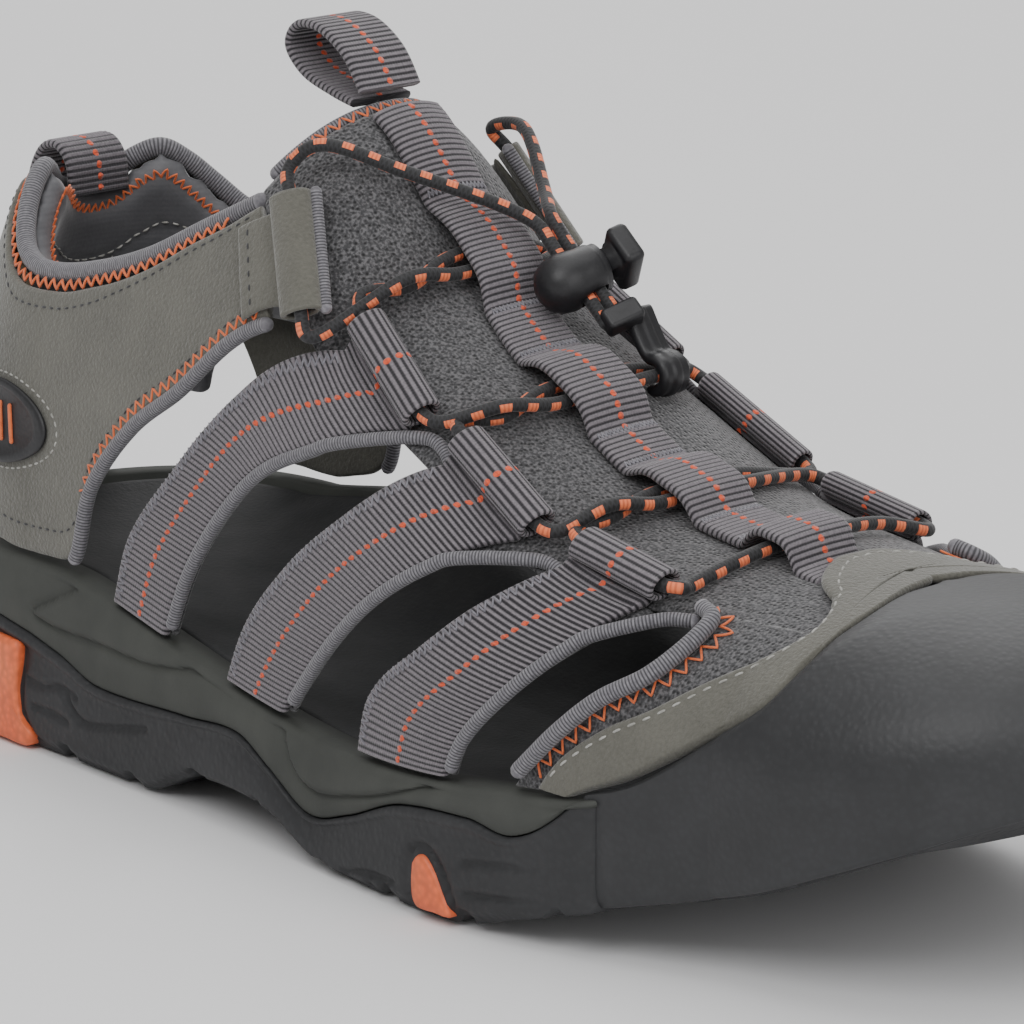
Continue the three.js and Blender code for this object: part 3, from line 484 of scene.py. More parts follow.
def catmull(points, share, centripetal=False):
    # a Catmull-Rom curve through the points, at shares from 0 to 1 of its parameter
    p = np.array(points, float)
    spot = np.clip(np.asarray(share, float), 0, 1) * (len(p) - 1)
    i = np.minimum(spot.astype(int), len(p) - 2)
    t = (spot - i)[..., None]
    ext = np.concatenate([[2 * p[0] - p[1]], p, [2 * p[-1] - p[-2]]])
    if not centripetal:
        ext[0], ext[-1] = p[0], p[-1]
    p0, p1, p2, p3 = ext[i], ext[i + 1], ext[i + 2], ext[i + 3]
    if centripetal:
        d0, d1, d2 = (np.maximum(np.linalg.norm(b - a, axis=-1, keepdims=True), 1e-6) ** 0.5
                      for a, b in ((p0, p1), (p1, p2), (p2, p3)))
        m1 = ((p1 - p0) / d0 - (p2 - p0) / (d0 + d1) + (p2 - p1) / d1) * d1
        m2 = ((p2 - p1) / d1 - (p3 - p1) / (d1 + d2) + (p3 - p2) / d2) * d1
    else:
        m1, m2 = (p2 - p0) / 2, (p3 - p1) / 2
    return (p1 * (1 + 2 * t) * (1 - t) ** 2 + p2 * t * t * (3 - 2 * t)
            + m1 * t * (1 - t) ** 2 + m2 * t * t * (t - 1))


def evenly(path, count):
    # the same line with its points an equal distance apart, and the distance of each from the start
    path = np.asarray(path, float)
    step = np.concatenate([[0], np.cumsum(np.linalg.norm(np.diff(path, axis=0), axis=1))])
    at = np.linspace(0, step[-1], count)
    return np.stack([np.interp(at, step, path[:, k]) for k in range(path.shape[1])], 1), at


def unit(v):
    # each vector divided by its length
    return v / np.maximum(np.linalg.norm(v, axis=-1, keepdims=True), 1e-9)


# ---- the foot surface ----
foot = {
    "heelCentre": -100, "toeCentre": 88, "heelReach": 42, "toeReach": 55, "toeTipSide": 8, "ridgeLean": 4,
    "heelRim": 37, "toeRim": 47,
    "outerEdge": [[-100, -35], [-85, -36], [-50, -39], [-10, -44], [25, -49], [45, -49], [60, -47],
                  [88, -39]],
    "innerEdge": [[-100, 35], [-70, 36], [-35, 36], [0, 40], [35, 47.5], [60, 49.3], [88, 45.5]],
    "outerRim": [[-100, 36], [-85, 35], [-53, 29], [-20, 24], [10, 23], [45, 26], [65, 28], [88, 34]],
    "innerRim": [[-100, 38], [-75, 41], [-40, 38], [0, 31], [30, 28], [60, 28], [88, 33]],
    "ridge": [[-100, 128], [-60, 127], [-38, 123], [-17, 99], [13, 80.5], [40, 66.5], [70, 61.5], [88, 60]],
    "fullness": [[-100, 2], [-40, 2.1], [0, 2.5], [40, 2.3], [88, 2.2]],
}
sideEnd = 1 + (foot["toeCentre"] - foot["heelCentre"]) / 100
tipWay = sideEnd + 1


def wayAt(x, side):
    # the way round the foot: 0 at the centre back, 1 where the side starts; negative on the outer side
    return side * (1 + (np.asarray(x, float) - foot["heelCentre"]) / 100)


def footLine(way):
    # the foot's outline in plan and its rim height: a flattened half circle at each end, smooth sides between
    way = np.asarray(way, float)
    a = np.abs(way)
    heelX, toeX = foot["heelCentre"], foot["toeCentre"]
    spineX = np.where(a <= 1, heelX, np.minimum(toeX, heelX + (a - 1) * 100))
    sideY = np.where(way < 0, along(foot["outerEdge"], spineX), along(foot["innerEdge"], spineX))
    rimZ = np.where(way < 0, along(foot["outerRim"], spineX), along(foot["innerRim"], spineX))
    turn = pi / 2 * np.minimum(a, 1)
    heel = (heelX - foot["heelReach"] * np.abs(np.cos(turn)) ** 0.9, sideY * np.sin(turn) ** 0.9,
            mix(foot["heelRim"], rimZ, np.sin(turn) ** 2))
    turn = pi / 2 * np.clip(a - sideEnd, 0, 1)
    toe = (toeX + foot["toeReach"] * np.sin(turn) ** 0.95,
           mix(foot["toeTipSide"], sideY, np.abs(np.cos(turn)) ** 0.85),
           mix(rimZ, foot["toeRim"], np.sin(turn) ** 1.6))
    x, y, z = (np.where(a <= 1, h, np.where(a > sideEnd, t, s))
               for h, t, s in zip(heel, toe, (spineX, sideY, rimZ)))
    return x, y, z, spineX


def skin(way, up):
    # a point of the foot: from the rim at up 0 to the ridge at up 1, along a rounded section
    x, y, z, spineX = footLine(way)
    power = 2 / along(foot["fullness"], spineX)
    angle = pi / 2 * np.clip(up, 1e-5, 1)
    out = np.abs(np.cos(angle)) ** power
    rise = np.sin(angle) ** power
    ridgeY = foot["ridgeLean"] * (spineX - foot["heelCentre"]) / (foot["toeCentre"] - foot["heelCentre"])
    return np.stack(np.broadcast_arrays(mix(spineX, x, out), mix(ridgeY, y, out),
                                        mix(z, along(foot["ridge"], spineX), rise)), -1)


def footNormal(way, up):
    # square to the surface: the step up it crossed with the step round it
    step = 1e-3
    held = np.clip(up, 2 * step, 1 - 2 * step)
    around = skin(way + step, held) - skin(way - step, held)
    rise = skin(way, held + step) - skin(way, held - step)
    return unit(np.cross(rise, around))


def onFoot(way, up, lift=0.0):
    # the foot's surface moved out along its normal by lift
    way, up = np.asarray(way, float), np.asarray(up, float)
    return skin(way, up) + footNormal(way, up) * np.asarray(lift, float)[..., None]


def overFoot(x, across, lift=0.0):
    # across runs over the ridge, from -1 at the outer rim to 1 at the inner one
    across = np.asarray(across, float)
    return onFoot(wayAt(x, np.where(across < 0, -1, 1)), 1 - np.abs(across), lift)


def acrossFor(x, sideways):
    # the across value that lies sideways mm from the ridge
    reach = np.abs(footLine(wayAt(x, np.where(np.asarray(sideways) < 0, -1, 1)))[1])
    share = np.minimum(np.abs(sideways) / reach, 1)
    return np.sign(sideways) * np.arcsin(share ** (along(foot["fullness"], x) / 2)) * 2 / pi


def overRidge(x, sideways, lift):
    # sideways from the centre strip's middle, which leans to the outer side over the instep
    return overFoot(x, acrossFor(x, sideways - 4.5 * smooth(-20, 8, np.asarray(x, float))), lift)


def planPoint(way, edge, height):
    # the outline moved out in plan by edge, square to itself
    way = np.asarray(way, float)
    step = 0.01
    ax, ay = footLine(np.maximum(way - step, -tipWay))[:2]
    bx, by = footLine(np.minimum(way + step, tipWay))[:2]
    x, y = footLine(way)[:2]
    length = np.hypot(bx - ax, by - ay)
    tip = np.abs(way) > tipWay - step
    outX, outY = np.where(tip, 1, (ay - by) / length), np.where(tip, 0, (bx - ax) / length)
    return np.stack(np.broadcast_arrays(x + outX * edge, y + outY * edge, height), -1)


# ---- shapes ----
def band(spot, low, high, rows, cells=16, edge=4, relief=None, taper=0.0):
    # a strip between its edges b = 0 and 1, carried along a, with rounded long edges: a grid of points and
    # its mm uv.
    # relief(u, v) adds height to the outer face; taper rounds the two ends over that many mm
    a = np.linspace(0, 1, rows)[:, None]
    middle = (low + high) / 2
    radius = (high - low) / 2
    left, right = spot(a, np.zeros_like(a), np.full_like(a, middle)), spot(a, np.ones_like(a),
            np.full_like(a, middle))
    width = np.linalg.norm(right - left, axis=-1)
    centre = spot(a, np.full_like(a, 0.5), np.full_like(a, middle))[:, 0]
    u = np.concatenate([[0], np.cumsum(np.linalg.norm(np.diff(centre, axis=0), axis=1))])[:, None]
    share = np.linspace(0, 1, cells + 1)
    turn = np.linspace(pi / 2, -pi / 2, edge + 1)[1:-1]
    base = np.concatenate([share, np.ones(edge - 1), share[::-1], np.zeros(edge - 1)])
    shift = np.concatenate([np.zeros(cells + 1), radius * np.cos(turn), np.zeros(cells + 1),
                            -radius * np.cos(turn)])
    rise = np.concatenate([np.full(cells + 1, radius), radius * np.sin(turn),
                           np.full(cells + 1, -radius), radius * np.sin(turn[::-1])])
    top = np.concatenate([np.ones(cells + 1), np.zeros(base.size - cells - 1)])
    place = radius + base * (width - 2 * radius) + shift
    ends = np.ones_like(u)
    if taper:
        near = np.minimum(u, u[-1] - u) / taper
        ends = np.sqrt(np.clip(1 - (1 - np.minimum(near, 1)) ** 2, 0.01, 1))
    height = middle + rise * ends
    if relief:
        height = height + relief(u, place - width / 2) * top * ends
    grid = spot(a + 0 * place, place / width, height)
    v = place - width / 2
    wide = np.concatenate([v, v[:, :1]], 1)
    uv = {"weave": np.stack(np.broadcast_arrays(u, wide), -1)}
    return grid, uv


def frames(path, hint):
    # tangent, side and up along a path; up stays as near to hint as it can
    tangent = unit(np.gradient(path, axis=0))
    side = unit(np.cross(hint, tangent))
    return tangent, side, np.cross(tangent, side)


def carried(path):
    # a side direction carried along the path without twist, for a cord that turns every way
    tangent = unit(np.gradient(path, axis=0))
    hint = np.empty_like(tangent)
    hint[0] = unit(np.cross(tangent[0], (0.3, 0.1, 1.0)))
    for k in range(1, len(path)):
        hint[k] = unit(hint[k - 1] - tangent[k] * (hint[k - 1] @ tangent[k]))
    return hint


def tube(path, radius, sides=12, hint=None):
    # a round section carried along a path; radius may change along it, and its ends close in a half ball
    path = np.asarray(path, float)
    hint = carried(path) if hint is None else np.broadcast_to(hint, path.shape)
    tangent, side, up = frames(path, hint)
    radius = np.broadcast_to(np.asarray(radius, float), (len(path),)).copy()
    u = np.concatenate([[0], np.cumsum(np.linalg.norm(np.diff(path, axis=0), axis=1))])
    turn = np.linspace(0.08, 1, 4)[:, None] * pi / 2
    start = path[0] - tangent[0] * radius[0] * np.cos(turn)
    end = path[-1] + tangent[-1] * radius[-1] * np.cos(turn[::-1])
    path = np.concatenate([start, path, end])
    side, up = (np.concatenate([np.repeat(d[:1], 4, 0), d, np.repeat(d[-1:], 4, 0)]) for d in (side, up))
    radius = np.concatenate([radius[0] * np.sin(turn[:, 0]), radius, radius[-1] * np.sin(turn[::-1, 0])])
    u = np.concatenate([np.zeros(4), u, np.full(4, u[-1])])
    angle = np.arange(sides) * 2 * pi / sides
    grid = (path[:, None] + side[:, None] * (radius[:, None] * np.cos(angle))[..., None]
            + up[:, None] * (radius[:, None] * np.sin(angle))[..., None])
    turn = np.linspace(0, 2 * pi, sides + 1)
    return grid, {"weave": np.stack(np.broadcast_arrays(u[:, None], turn[None, :]), -1)}


def binding(name, spots, radius, **settings):
    # a binding: a tube on a smooth curve through the spots; its material draws the windings
    path, _ = evenly(catmull(spots, np.linspace(0, 1, 1200), True), 900)
    grid, uv = tube(path, radius, 14)
    return gridPiece(name, grid, uv=uv, slot="ribbed_binding", look="binding", **settings)


def dashes(path, normal, pitch, length, radius, lift=0.0):
    # sewn stitches: short bent threads that dip into the cloth at both ends, every pitch mm along the path
    path, at = evenly(np.concatenate([path, normal], 1), 600)
    count = max(int(at[-1] / pitch), 1)
    start = (np.arange(count) + 0.5) * at[-1] / count - length / 2
    t = np.linspace(0, 1, 6)
    where = start[:, None] + t[None, :] * length
    spot = np.stack([np.interp(where, at, path[:, k]) for k in range(6)], -1)
    centre, up = spot[..., :3], unit(spot[..., 3:])
    tangent = unit(np.gradient(centre, axis=1))
    side = unit(np.cross(up, tangent))
    arch = np.sin(pi * t) ** 0.6
    centre = centre + up * (lift - radius * 0.9 + radius * 1.1 * arch)[None, :, None]
    size = radius * np.clip(arch * 1.2, 0.25, 1)
    angle = np.arange(6) * 2 * pi / 6
    return (centre[:, :, None] + side[:, :, None] * (size[:, None] * np.cos(angle))[None, ..., None]
            + up[:, :, None] * (size[:, None] * np.sin(angle))[None, ..., None])


def zigzag(path, normal, pitch, width, radius, lift=0.0, bow=0.0):
    # one thread that crosses from side to side of a line, every pitch mm; bow bends it down round a cord
    path, at = evenly(np.concatenate([path, normal], 1), 900)
    turns = max(int(at[-1] / pitch), 1) * 2
    t = np.linspace(0, turns, turns * 6 + 1)
    where = t / turns * at[-1]
    spot = np.stack([np.interp(where, at, path[:, k]) for k in range(6)], -1)
    tangent = unit(np.gradient(spot[:, :3], axis=0))
    up = unit(spot[:, 3:])
    side = unit(np.cross(up, tangent))
    swing = np.arcsin(np.sin(pi * (t - 0.5))) * 2 / pi * width / 2
    line = spot[:, :3] + side * swing[:, None] + up * (lift - bow * swing ** 2)[:, None]
    return tube(line, radius, 6, hint=up)[0]


bodyName = "sandal"
straps = {
    "rear": [[.005, -73, -54], [.1, -68, -47], [.22, -54, -34], [.36, -37, -19], [.57, -20, 1]],
    "middle": [[.005, -36, -15], [.07, -31, -7], [.18, -20, 4], [.34, -5, 17], [.57, 10, 31]],
    "front": [[.005, 7, 35], [.08, 10, 38], [.22, 22, 46], [.38, 31, 54], [.57, 40, 61]],
}
gusset = [[.005, 48, 54], [.048, 50.8, 58], [.163, 57.8, 68], [.261, 63.6, 76], [.351, 70.6, 84],
          [.504, 74.3, 93],
          [.62, 73, 95]]
layer = {"backing": (0.0, 1.2), "webbing": (1.5, 3.2), "nubuck": (1.5, 3.1), "pipe": 3.5}
sides = {"lateral": -1, "medial": 1}


def ladder(side, rungs, top=None):
    # a strap's surface between its back and front edges, which its rungs give at each height
    rungs = np.array(rungs, float)
    low, high = rungs[0, 0], rungs[-1, 0] if top is None else top
    return lambda a, b, lift: onFoot(wayAt(mix(along(rungs[:, :2], mix(low, high, a)),
                                               along(rungs[:, [0, 2]], mix(low, high, a)), b), side),
                                     mix(low, high, a), lift)


# ---- sole ----
sole = {
    "edge": 4.2, "flare": 1.2, "gap": 0.3, "capStart": 2.64, "capRoom": 4.3,
    "tread": [[-147, 9], [-128, 0], [-62, 0], [-46, 6], [-20, 5.5], [-2, 0], [36, 0], [52, 4], [67, 8],
              [85, 12.5],
              [98, 16.5], [111, 22], [123, 27.5], [132, 32], [147, 39]],
    "bond": [[-147, 26], [-111, 24], [-90, 20], [-77, 16.5], [-48, 17.5], [-31, 18.5], [-21, 14.5], [-8, 9],
             [5, 12], [21, 18], [40, 20], [49, 18.8], [55, 20.6], [60, 24], [64, 27.4], [70, 28.5], [85, 32],
             [111, 39],
             [132, 43], [147, 45.5]],
}
soleWays = np.linspace(-tipWay, tipWay, 720, endpoint=False)

toe = {
    "window": [[54.5, .985], [59, .9], [66.5, .81], [75.1, .734], [87.9, .554], [95.7, .398], [94, .3],
               [88.7, .25],
               [81, .17], [75.5, .06], [75, 0]],
    "capSide": [[61, .999], [65, .985], [73.5, .955], [84.5, .87], [98, .71], [102, .53], [106, .38],
                [105, .25], [104, .15],
                [102, .07], [99, .03], [97, 0]],
    "gap": [[50.8, .952], [57.8, .837], [63.6, .739], [70.6, .649], [74.3, .496]],
    "capTop": [[2.64, .01], [2.74, .035], [2.84, .12], [2.965, .295], [3.02, .46], [3.07, .62], [3.2, .81],
               [3.4, .89],
               [3.88, .93]],
    "stand": 1.6, "wall": 2.8, "foot": 1, "share": 0.3,
}


def tread(x):
    # the height of the tread's underside, never below the ground
    return np.maximum(0, along(sole["tread"], x))


def bond(x):
    # the height of the line where midsole meets outsole
    return along(sole["bond"], x)


def deck(x):
    # the midsole's inner floor: 9 mm under the outer rim, rising 16 mm to the toe's tip
    return along(foot["outerRim"], x) - 9 + 16 * np.clip((x - foot["toeCentre"]) / foot["toeReach"], 0, 1)


def innerBond(x):
    # the bond line inside the wall, kept 4 mm under the deck
    return np.minimum(bond(x), deck(x) - 4)


def innerTread(x):
    # the tread inside the wall, kept 5 mm under the bond line
    return np.minimum(tread(x), innerBond(x) - 5)


def nearLine(line, x, z):
    # distance in mm from (x, z) to a line of points, and which side of it
    line = catmull(line, np.linspace(0, 1, 60))
    a, b = line[:-1], line[1:]
    d = b - a
    px, pz = x[..., None] - a[:, 0], z[..., None] - a[:, 1]
    t = np.clip((px * d[:, 0] + pz * d[:, 1]) / (d ** 2).sum(1), 0, 1)
    gapX, gapZ = px - t * d[:, 0], pz - t * d[:, 1]
    far = np.hypot(gapX, gapZ)
    k = far.argmin(-1)
    take = lambda v: np.take_along_axis(v, k[..., None], -1)[..., 0]
    turn = np.sign(take(d[:, 0] * gapZ - d[:, 1] * gapX))
    return take(far), turn


def soleGrid(ring):
    # each ring is (edge, height) as functions of (way, x); the sole draws in behind the toe cap
    way = soleWays
    rows = []
    for edge, height in ring:
        edge = np.broadcast_to(np.asarray(edge, float), way.shape)
        room = sole["capRoom"] * smooth(sole["capStart"] + 0.015, sole["capStart"] + 0.05, np.abs(way))
        edge = np.where(edge > 0, edge - room, edge)
        rough = planPoint(way, edge, 0)[:, 0]
        rows.append(planPoint(way, edge, height(way, rough)))
    return np.stack(rows)


def spineRow(height):
    # the sole's middle line, leaning as the ridge does, as a row that closes each shell
    x = footLine(soleWays)[3]
    lean = foot["ridgeLean"] * (x - foot["heelCentre"]) / (foot["toeCentre"] - foot["heelCentre"])
    return np.stack([x, lean, height(x)], -1)


def rim(way):
    # the height of the foot's rim, where sole and upper meet
    return footLine(way)[2]


soleMarks = {
    "heelCrease": [[-81, 35], [-91, 30], [-97.3, 26.5], [-90, 25], [-77, 25], [-60, 24.6], [-44, 27],
                   [-34, 30]],
    "waistCrease": [[-17, 23], [-14.8, 19.8], [-11.6, 16.3], [-7.7, 14.3], [-1.7, 14.2], [11.7, 17.4],
                    [21, 20.4],
                    [29.5, 23.3]],
    "grooves": [[[-118, 21], [-104, 20.4], [-100.6, 19.4], [-100.8, 9.6], [-99.6, 5.4], [-95.4, 1.2]],
                [[-99, 13], [-94, 12.6], [-90, 13.6], [-84, 12.8]], [[-97, 8.2], [-92, 8.4], [-86, 7.6]],
                [[11, -3], [14, 3.4], [18, 3.4]],
                [[25.8, 1], [25.7, 10.6], [29.4, 12.6], [34, 9.8], [36.8, 5.2], [38.4, 1]],
                [[-88, 13.4], [-84, 10], [-80, 8.6], [-74, 9.4], [-61, 12]],
                [[39, 11.8], [45, 12.8], [52, 13.6], [58, 14.4]],
                [[5, 1.8], [12, 3.6], [21, 4.1]], [[40, 6.6], [48, 7.4], [57, 8.6]]],
}


def outsoleWall(t):
    # the wall's edge and height for t from 0 at the tread to 1 at the bond line, with moulded grooves and a
    # lip
    def height(way, x):
        low = tread(x) + 0.2
        notch = 1.6 * smooth(0.8, 0.96,
                             np.cos(2 * pi * (x + 3) / 21)) * (1 - smooth(0, 0.25, t)) * smooth(-98, -90, x)
        return low + (bond(x) - 0.3 - low) * t + notch
    return height


def outsole():
    # rings from the tread's middle out under the edge, up the wall and back in to the bond line's middle
    way = soleWays
    rows = [spineRow(innerTread),
            *soleGrid([(-12, lambda w, x: innerTread(x)), (-2.5, lambda w, x: tread(x))])]
    for t in np.linspace(0, 1, 34):
        height = outsoleWall(t)
        x = planPoint(way, sole["edge"], 0)[:, 0]
        z = height(way, x)
        shape = sole["edge"] - 0.9 + (sole["flare"] + 0.9) * smooth(0, 0.16,
                t) - sole["flare"] * smooth(0.3, 1, t)
        shape = shape + 0.9 * smooth(0.86, 0.93, t) - 0.5 * smooth(0.95, 1, t)
        groove = sum(np.exp(-(nearLine(line, x, z)[0] / 0.55) ** 2) for line in soleMarks["grooves"])
        shape = shape - 0.9 * np.minimum(groove, 1) * (way < 0) * smooth(0.04, 0.1,
                t) * (1 - smooth(0.85, 0.9, t))
        # by the toe cap the wall comes level with the cap's own
        shape = mix(shape, toe["stand"] + toe["wall"], smooth(2.44, 2.62, np.abs(way)))
        rows.append(soleGrid([(shape, height)])[0])
    rows += [*soleGrid([(2.5, lambda w, x: bond(x) - 0.3), (-4, lambda w, x: innerBond(x) - 0.3)]),
             spineRow(lambda x: innerBond(x) - 0.3)]
    return np.stack(rows)


def midsole():
    # rings from the bond line's middle out, up the creased wall, over its rounded top and in to the deck
    way = soleWays
    rows = [spineRow(innerBond), *soleGrid([(-4, lambda w, x: innerBond(x)), (2.4, lambda w, x: bond(x))])]
    x = planPoint(way, sole["edge"], 0)[:, 0]
    for t in np.linspace(0, 1, 34):
        z = mix(bond(x), rim(way) - 1.6, t)
        shape = sole["edge"] + 0.1 + 1.0 * np.sin(pi * t) ** 0.8 - 0.6 * t
        for key, depth in (("heelCrease", 0.8), ("waistCrease", 0.75)):
            far, turn = nearLine(soleMarks[key], x, z)
            shape = shape - depth * np.exp(-(far / 0.8) ** 2) + 0.45 * turn * np.exp(-(far / 4.5) ** 2)
        rows.append(soleGrid([(shape, lambda w, px, t=t: mix(bond(px), rim(w) - 1.6, t))])[0])
    for turn in np.linspace(0.2, 1, 5) * pi / 2:
        edge = sole["edge"] - 0.5 - 1.4 * (1 - np.cos(turn))
        rows.append(soleGrid([(edge, lambda w, px, turn=turn: rim(w) - 1.6 + 1.3 * np.sin(turn))])[0])
    rows += [*soleGrid([(0.5, lambda w, x: rim(w) - 0.3), (-3, lambda w, x: rim(w) - 0.3),
                        (-4, lambda w, x: deck(x))]),
             spineRow(deck)]
    return np.stack(rows)


say("sole")
soleSettings = {"wrap": True, "caps": False, "body": bodyName}
gridPiece("outsole_rubber", outsole(), node="outsole", slot="outsole_rubber", look="outsole", **soleSettings)
gridPiece("midsole_foam", midsole(), node="midsole", slot="midsole_foam", look="midsole", **soleSettings)


def treadBlock(name, node, outline, out, inward):
    # an orange block set into the outsole's wall: an outline in x and height, as deep as out minus inward
    line = np.array(outline, float)
    line = catmull(np.concatenate([line, line[:1]]), np.linspace(0, 1, 84, endpoint=False), True)
    centre = line.mean(0)
    rows = []
    for edge, scale in ((inward, 1.0), (out - 0.7, 1.0), (out - 0.2, 0.96), (out, 0.88), (out + 0.05, 0.5),
                        (out + 0.05, 0.02)):
        x, z = (centre + (line - centre) * scale).T
        rows.append(planPoint(wayAt(x, -1), edge, z)
                    if outline[0][0] > -100 else planPoint(heelWay(x), edge, z))
    return gridPiece(name, np.stack(rows), body=bodyName, node=node, slot="orange_rubber",
                     look="orangeRubber")


def heelWay(x):
    # the way on the outer side whose outline has this x, back past the heel centre
    ways = np.linspace(-1.4, 0, 400)
    return np.interp(x, footLine(ways)[0][::-1], ways[::-1])


treadBlock("heel_block_orange", "heel_tread_insert",
           [[-113.5, 19.6], [-111, 20], [-104.4, 20], [-101.4, 19.6], [-101.5, 10.1], [-100.6, 6], [-97, 2.6],
            [-98, .5],
            [-106, .3], [-113, .4], [-114, 4], [-113.6, 12]], 6.1, 1.5)
treadBlock("forefoot_block_orange", "forefoot_tread_insert",
           [[27.4, 9.4], [28.6, 10.9], [30.2, 11.1], [32.9, 8.9], [35.4, 4.9], [36.9, 1.7], [33, 1.5],
            [28.6, 1.6],
            [27.5, 2.8], [27.1, 6]], 5.9, 1.5)

footbedRings = [(-5, lambda w, x: deck(x) + 2.3), (-4.4, lambda w, x: rim(w) - 1.6),
                (-4.9, lambda w, x: rim(w) - 1.1),
                (-6, lambda w, x: rim(w) - 1.3), (-9, lambda w, x: rim(w) - 2.2),
                (-12, lambda w, x: rim(w) - 3),
                (-18, lambda w, x: mix(rim(w) - 3, footbedTop(x), 0.45)),
                (-26, lambda w, x: mix(rim(w) - 3, footbedTop(x), 0.9))]


def footbedTop(x):
    # the footbed's top, 4 mm under the outer rim
    return along(foot["outerRim"], x) - 4


gridPiece("footbed_foam", np.stack([spineRow(lambda x: deck(x) + 2.3), *soleGrid(footbedRings),
                                    spineRow(footbedTop)]),
          node="footbed", slot="footbed_foam", look="footbed", **soleSettings)

# ---- vamp mesh and tongue ----
vamp = {"edge": [[-51, .62], [-30, .5], [0, .54], [40, .54], [64, .585], [71, .585], [75.5, .5], [78, .36],
                 [84, .36],
                 [92, .45], [99, .55]], "top": -40, "sweep": 70, "front": 99}


def vampSpot(a, b, lift):
    # over the ridge between the mesh's edges; its back edge sweeps away from the ridge in a curve
    rough = mix(-51, vamp["front"], a)
    across = mix(-1, 1, b) * (1 - along(vamp["edge"], rough))
    return overFoot(mix(vamp["top"] - vamp["sweep"] * across ** 2, vamp["front"], a), across, lift)


say("vamp")
grid, uv = band(vampSpot, *layer["backing"], 150, 60)
gridPiece("vamp_air_mesh", grid, uv=uv, body=bodyName, node="vamp_mesh", slot="air_mesh", look="airMesh")
webs = [[[up, back, front - 1.6 * (1 - smooth(.42, .56, up))] for up, back, front in rungs]
        for rungs in straps.values()]
backings = [band(ladder(side, rungs), *layer["backing"], 60, 14) for side in sides.values()
            for rungs in [*webs, gusset]]
gridPiece("strap_backing_mesh", np.stack([g for g, _ in backings]),
          uv={"weave": np.stack([w["weave"] for _, w in backings])}, body=bodyName, slot="air_mesh",
          look="airMesh")


def tongueLine(across, back, lift):
    # along the tongue's top edge, back mm behind it
    slant = np.hypot(1, 2 * vamp["sweep"] * across / 50)
    return overFoot(vamp["top"] - vamp["sweep"] * across ** 2 - back * slant, across, lift)


across = np.linspace(-0.33, 0.33, 40)
binding("tongue_ribbed_binding", tongueLine(across, 1.7, 0.0), 1.35, body=bodyName, node="tongue_binding")
across = np.linspace(-0.31, 0.31, 300)
line = tongueLine(across, 0.9, 1.25)
gridPiece("tongue_zigzag",
          zigzag(line, unit(tongueLine(across, 0.9, 3.0) - line), 2.8, 2.6, 0.24, lift=0.0, bow=0.15),
          body=bodyName, slot="ribbed_binding", look="orangeThread")

# ---- side straps, their piping and lace loops ----
strapLook = {"setback": 4.4, "ribPitch": 1.15, "ribHeight": 0.09, "pipeRadius": 1.25, "loopInner": 2.1,
             "loopOuter": 3.1,
             "top": (0.648, 0.612)}  # height of the strap's top at its back and front edges


def ribs(u, v):
    # a cosine along the webbing, one wave a rib
    return strapLook["ribHeight"] * np.cos(2 * pi * u / strapLook["ribPitch"])


def strapRelief(u, v):
    # crosswise ribs, with a groove where the fold is sewn down below the loop
    return ribs(u, v) - 0.55 * np.exp(-((u[-1] - 5.2 - u) / 0.5) ** 2)


def strapSpot(side, rungs):
    # a strap between its edges; its top is cut on the slant so that it runs up under the loop
    def spot(a, b, lift):
        up = mix(rungs[0][0], mix(*strapLook["top"], b), a)
        x = mix(along([r[:2] for r in rungs], up), along([r[::2] for r in rungs], up), b)
        return onFoot(wayAt(x, side), up, lift)
    return spot


# round the top of each opening: the piping's turn to the next strap's back edge, as x and height
turns = {"rear": [[1.8, .565], [5.4, .597], [8.6, .598], [11.5, .58]],
         "middle": [[33.2, .535], [36.8, .565], [40, .569], [43, .555]],
         "front": [[62.4, .505], [65.8, .544], [69.6, .565]]}


def loopSleeve(a, b, inner, outer, normal, wide=1.2, tall=0.8):
    # a folded webbing tunnel: a ring section with rounded lips, from a to b
    axis = unit(b - a)
    side = unit(np.cross(normal, axis))
    up = np.cross(axis, side)
    angle = np.linspace(0, 2 * pi, 40, endpoint=False)
    length = np.linalg.norm(b - a)
    lip = (outer - inner) / 2
    turn = np.linspace(pi / 2, -pi / 2, 6)
    radius = np.concatenate([np.full(60, outer), (inner + outer) / 2 + lip * np.sin(turn), np.full(12, inner),
                             (inner + outer) / 2 - lip * np.sin(turn)])
    place = np.concatenate([np.linspace(lip, length - lip, 60), length - lip + lip * np.cos(turn),
                            np.linspace(length - lip, lip, 12), lip - lip * np.cos(turn)])
    section = side * np.cos(angle)[:, None] * wide + up * np.sin(angle)[:, None] * tall
    grid = a + axis * place[None, :, None] + section[:, None] * radius[None, :, None]
    run = np.concatenate([place, place[:1]]) - length / 2
    around = np.concatenate([angle, [2 * pi]]) * outer
    uv = np.stack(np.broadcast_arrays(around[:-1, None], run[None, :]), -1)
    closed = np.concatenate([grid, grid[:1]])
    return closed, {"weave": np.concatenate([uv, np.stack([np.full_like(run, around[-1]), run], -1)[None]])}


